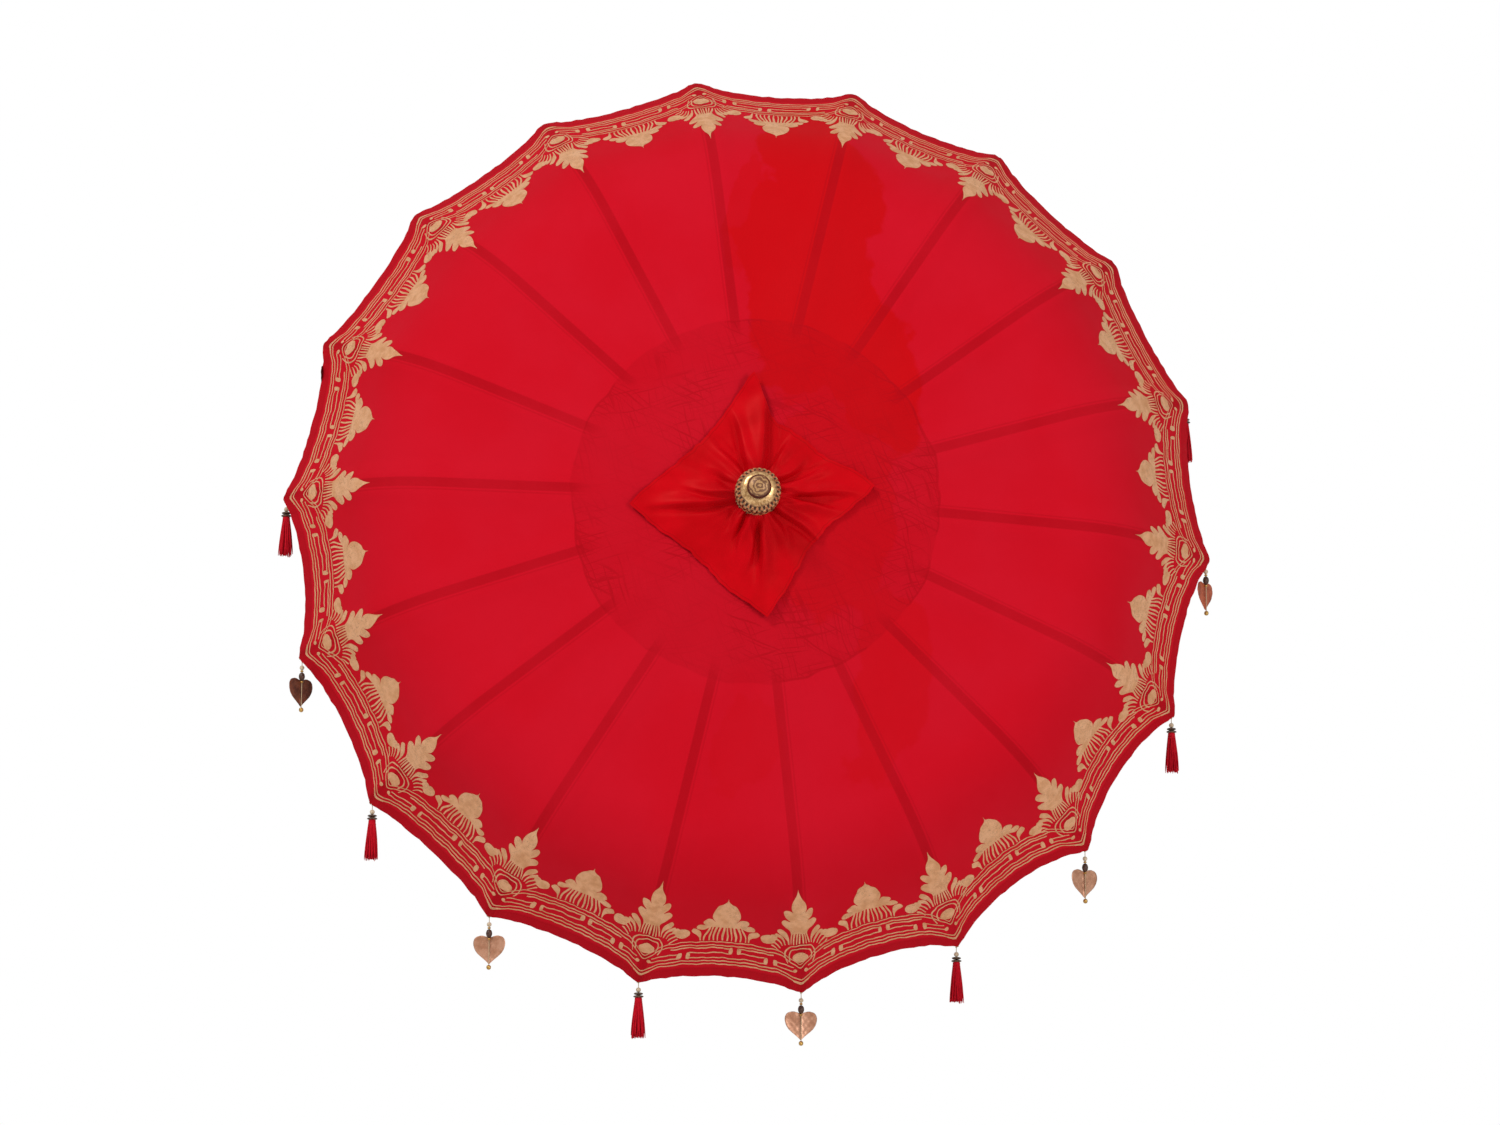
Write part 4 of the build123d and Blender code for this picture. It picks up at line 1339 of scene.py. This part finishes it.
def build_heart(name, hole):
    charm = Charm(hole)
    thread, pale, gold, dark, plate = range(5)
    thread_loop(charm, thread, -107)
    charm.bead(-20.8, 4.6, 8.6, pale)
    charm.bead(-27.6, 3.2, 4.2, gold)
    charm.bead(-38, 6.0, 16, dark)
    charm.bead(-48.4, 3.2, 4.2, gold)
    charm.bead(-102.5, 4.5, 9, gold)
    turn = radians(HEART_TURNS.get(name, rng.uniform(-40, 40)))
    heart_plate(charm, plate, rng.uniform(1.2, 2.2), rng.uniform(0, 6), turn)
    ring = [(0, 2.0 * cos(a) + 1.2, -50 + 3 * sin(a)) for a in np.linspace(0, 2 * pi, 16)]
    charm.tube(ring, 0.55, thread, 5)
    copper_look = TARNISHED.get(name, COPPER)
    charm.build(name, (CREAM_THREAD, CREAM, GOLD_BEAD, DARK_BEAD, copper_look))


# ---- build ----
# start of a CAD node's name, its material and its slot
WOODEN = (("pole", POLE_WOOD, "pole_wood"), ("crown", TURNED_WOOD, "turned_wood"),
          ("runner", TURNED_WOOD, "turned_wood"), ("rib_", RIB_WOOD, "rib_wood"),
          ("stretcher_", RIB_WOOD, "rib_wood"))


def build_all():
    area = panel_area()
    for rib in range(N):
        cloth, gold = panel(rib), border(rib)
        fold_up(cloth)
        fold_up(gold)
        sector = topper_sector(rib)
        fold_up(sector)
        cut, cut_area = topper_cut(rib)
    canopy_centre()
    r, azimuth = np.meshgrid(np.linspace(TENON_HOLE_R, CENTRE_R, 6), np.linspace(0, 2 * pi, 145),
                             indexing="ij")
    topper_piece("topper_centre", "pole_assembly", r, azimuth)
    build_finial()
    for joint in JOINTS.values():
        if joint["name"].endswith("_swing"):
            name = joint["child"]
            build_charm = build_tassel if name.startswith("tassel") else build_heart
            build_charm(name, joint["pos_m"])
    for name, node in frame["nodes"].items():
        for start, material, slot in WOODEN:
            if name.startswith(start):
                node.data.materials.clear()
                node.data.materials.append(material)


build_all()

# ---- floor, lights and camera ----
FLOOR_Z = -1.75
FLOOR_HALF = 40
floor_mesh = bpy.data.meshes.new("floor")
corners = [(x * FLOOR_HALF, y * FLOOR_HALF, FLOOR_Z) for x, y in ((-1, -1), (1, -1), (1, 1), (-1, 1))]
floor_mesh.from_pydata(corners, [], [(0, 1, 2, 3)])
floor = bpy.data.objects.new("floor", floor_mesh)
bpy.context.scene.collection.objects.link(floor)
pale = Nodes("pale floor")
floor_mesh.materials.append(pale.finish(Base_Color=(0.86, 0.85, 0.84, 1), Roughness=0.9))

world = bpy.data.worlds.new("studio")
bpy.context.scene.world = world
world.use_nodes = True
tree = world.node_tree
back = tree.nodes["Background"]
seen = tree.nodes.new("ShaderNodeBackground")
ray = tree.nodes.new("ShaderNodeLightPath")
either = tree.nodes.new("ShaderNodeMixShader")
tree.links.new(ray.outputs["Is Camera Ray"], either.inputs[0])
tree.links.new(back.outputs[0], either.inputs[1])
tree.links.new(seen.outputs[0], either.inputs[2])
tree.links.new(either.outputs[0], tree.nodes["World Output"].inputs["Surface"])
for node, strength in ((back, 0.50), (seen, 1.0)):
    node.inputs["Color"].default_value = (1, 1, 1, 1)
    node.inputs["Strength"].default_value = strength


def area_light(name, place, aim, size, power):
    light = bpy.data.lights.new(name, "AREA")
    light.shape = "DISK"
    light.size = size
    light.energy = power
    lamp = bpy.data.objects.new(name, light)
    bpy.context.scene.collection.objects.link(lamp)
    lamp.location = place
    lamp.visible_camera = False
    lamp.rotation_euler = (Vector(aim) - Vector(place)).to_track_quat("-Z", "Y").to_euler()


area_light("key", (-4.0, -6.6, 4.4), (0, -1.9, 0), 1.6, 234)
area_light("fill", (4.4, -8.6, 0.3), (0, -1.9, -0.1), 2.2, 162)

EYE = (-0.358, -10.0, -1.434)
YAW, PITCH, ROLL = radians(2.56), radians(9.59), radians(-0.18)
camera = bpy.data.cameras.new("camera")
camera.lens = 101.6
camera.sensor_width = 36
camera.dof.use_dof = False
eye = bpy.data.objects.new("camera", camera)
bpy.context.scene.collection.objects.link(eye)
forward = Vector((sin(YAW) * cos(PITCH), cos(YAW) * cos(PITCH), sin(PITCH)))
right = Vector((cos(YAW), -sin(YAW), 0))
right = Matrix.Rotation(ROLL, 3, forward) @ right
above = right.cross(forward)
looking = Matrix((right, above, -forward)).transposed().to_4x4()
looking.translation = Vector(EYE)
eye.matrix_world = looking
bpy.context.scene.camera = eye
bpy.context.scene.view_settings.view_transform = "Standard"
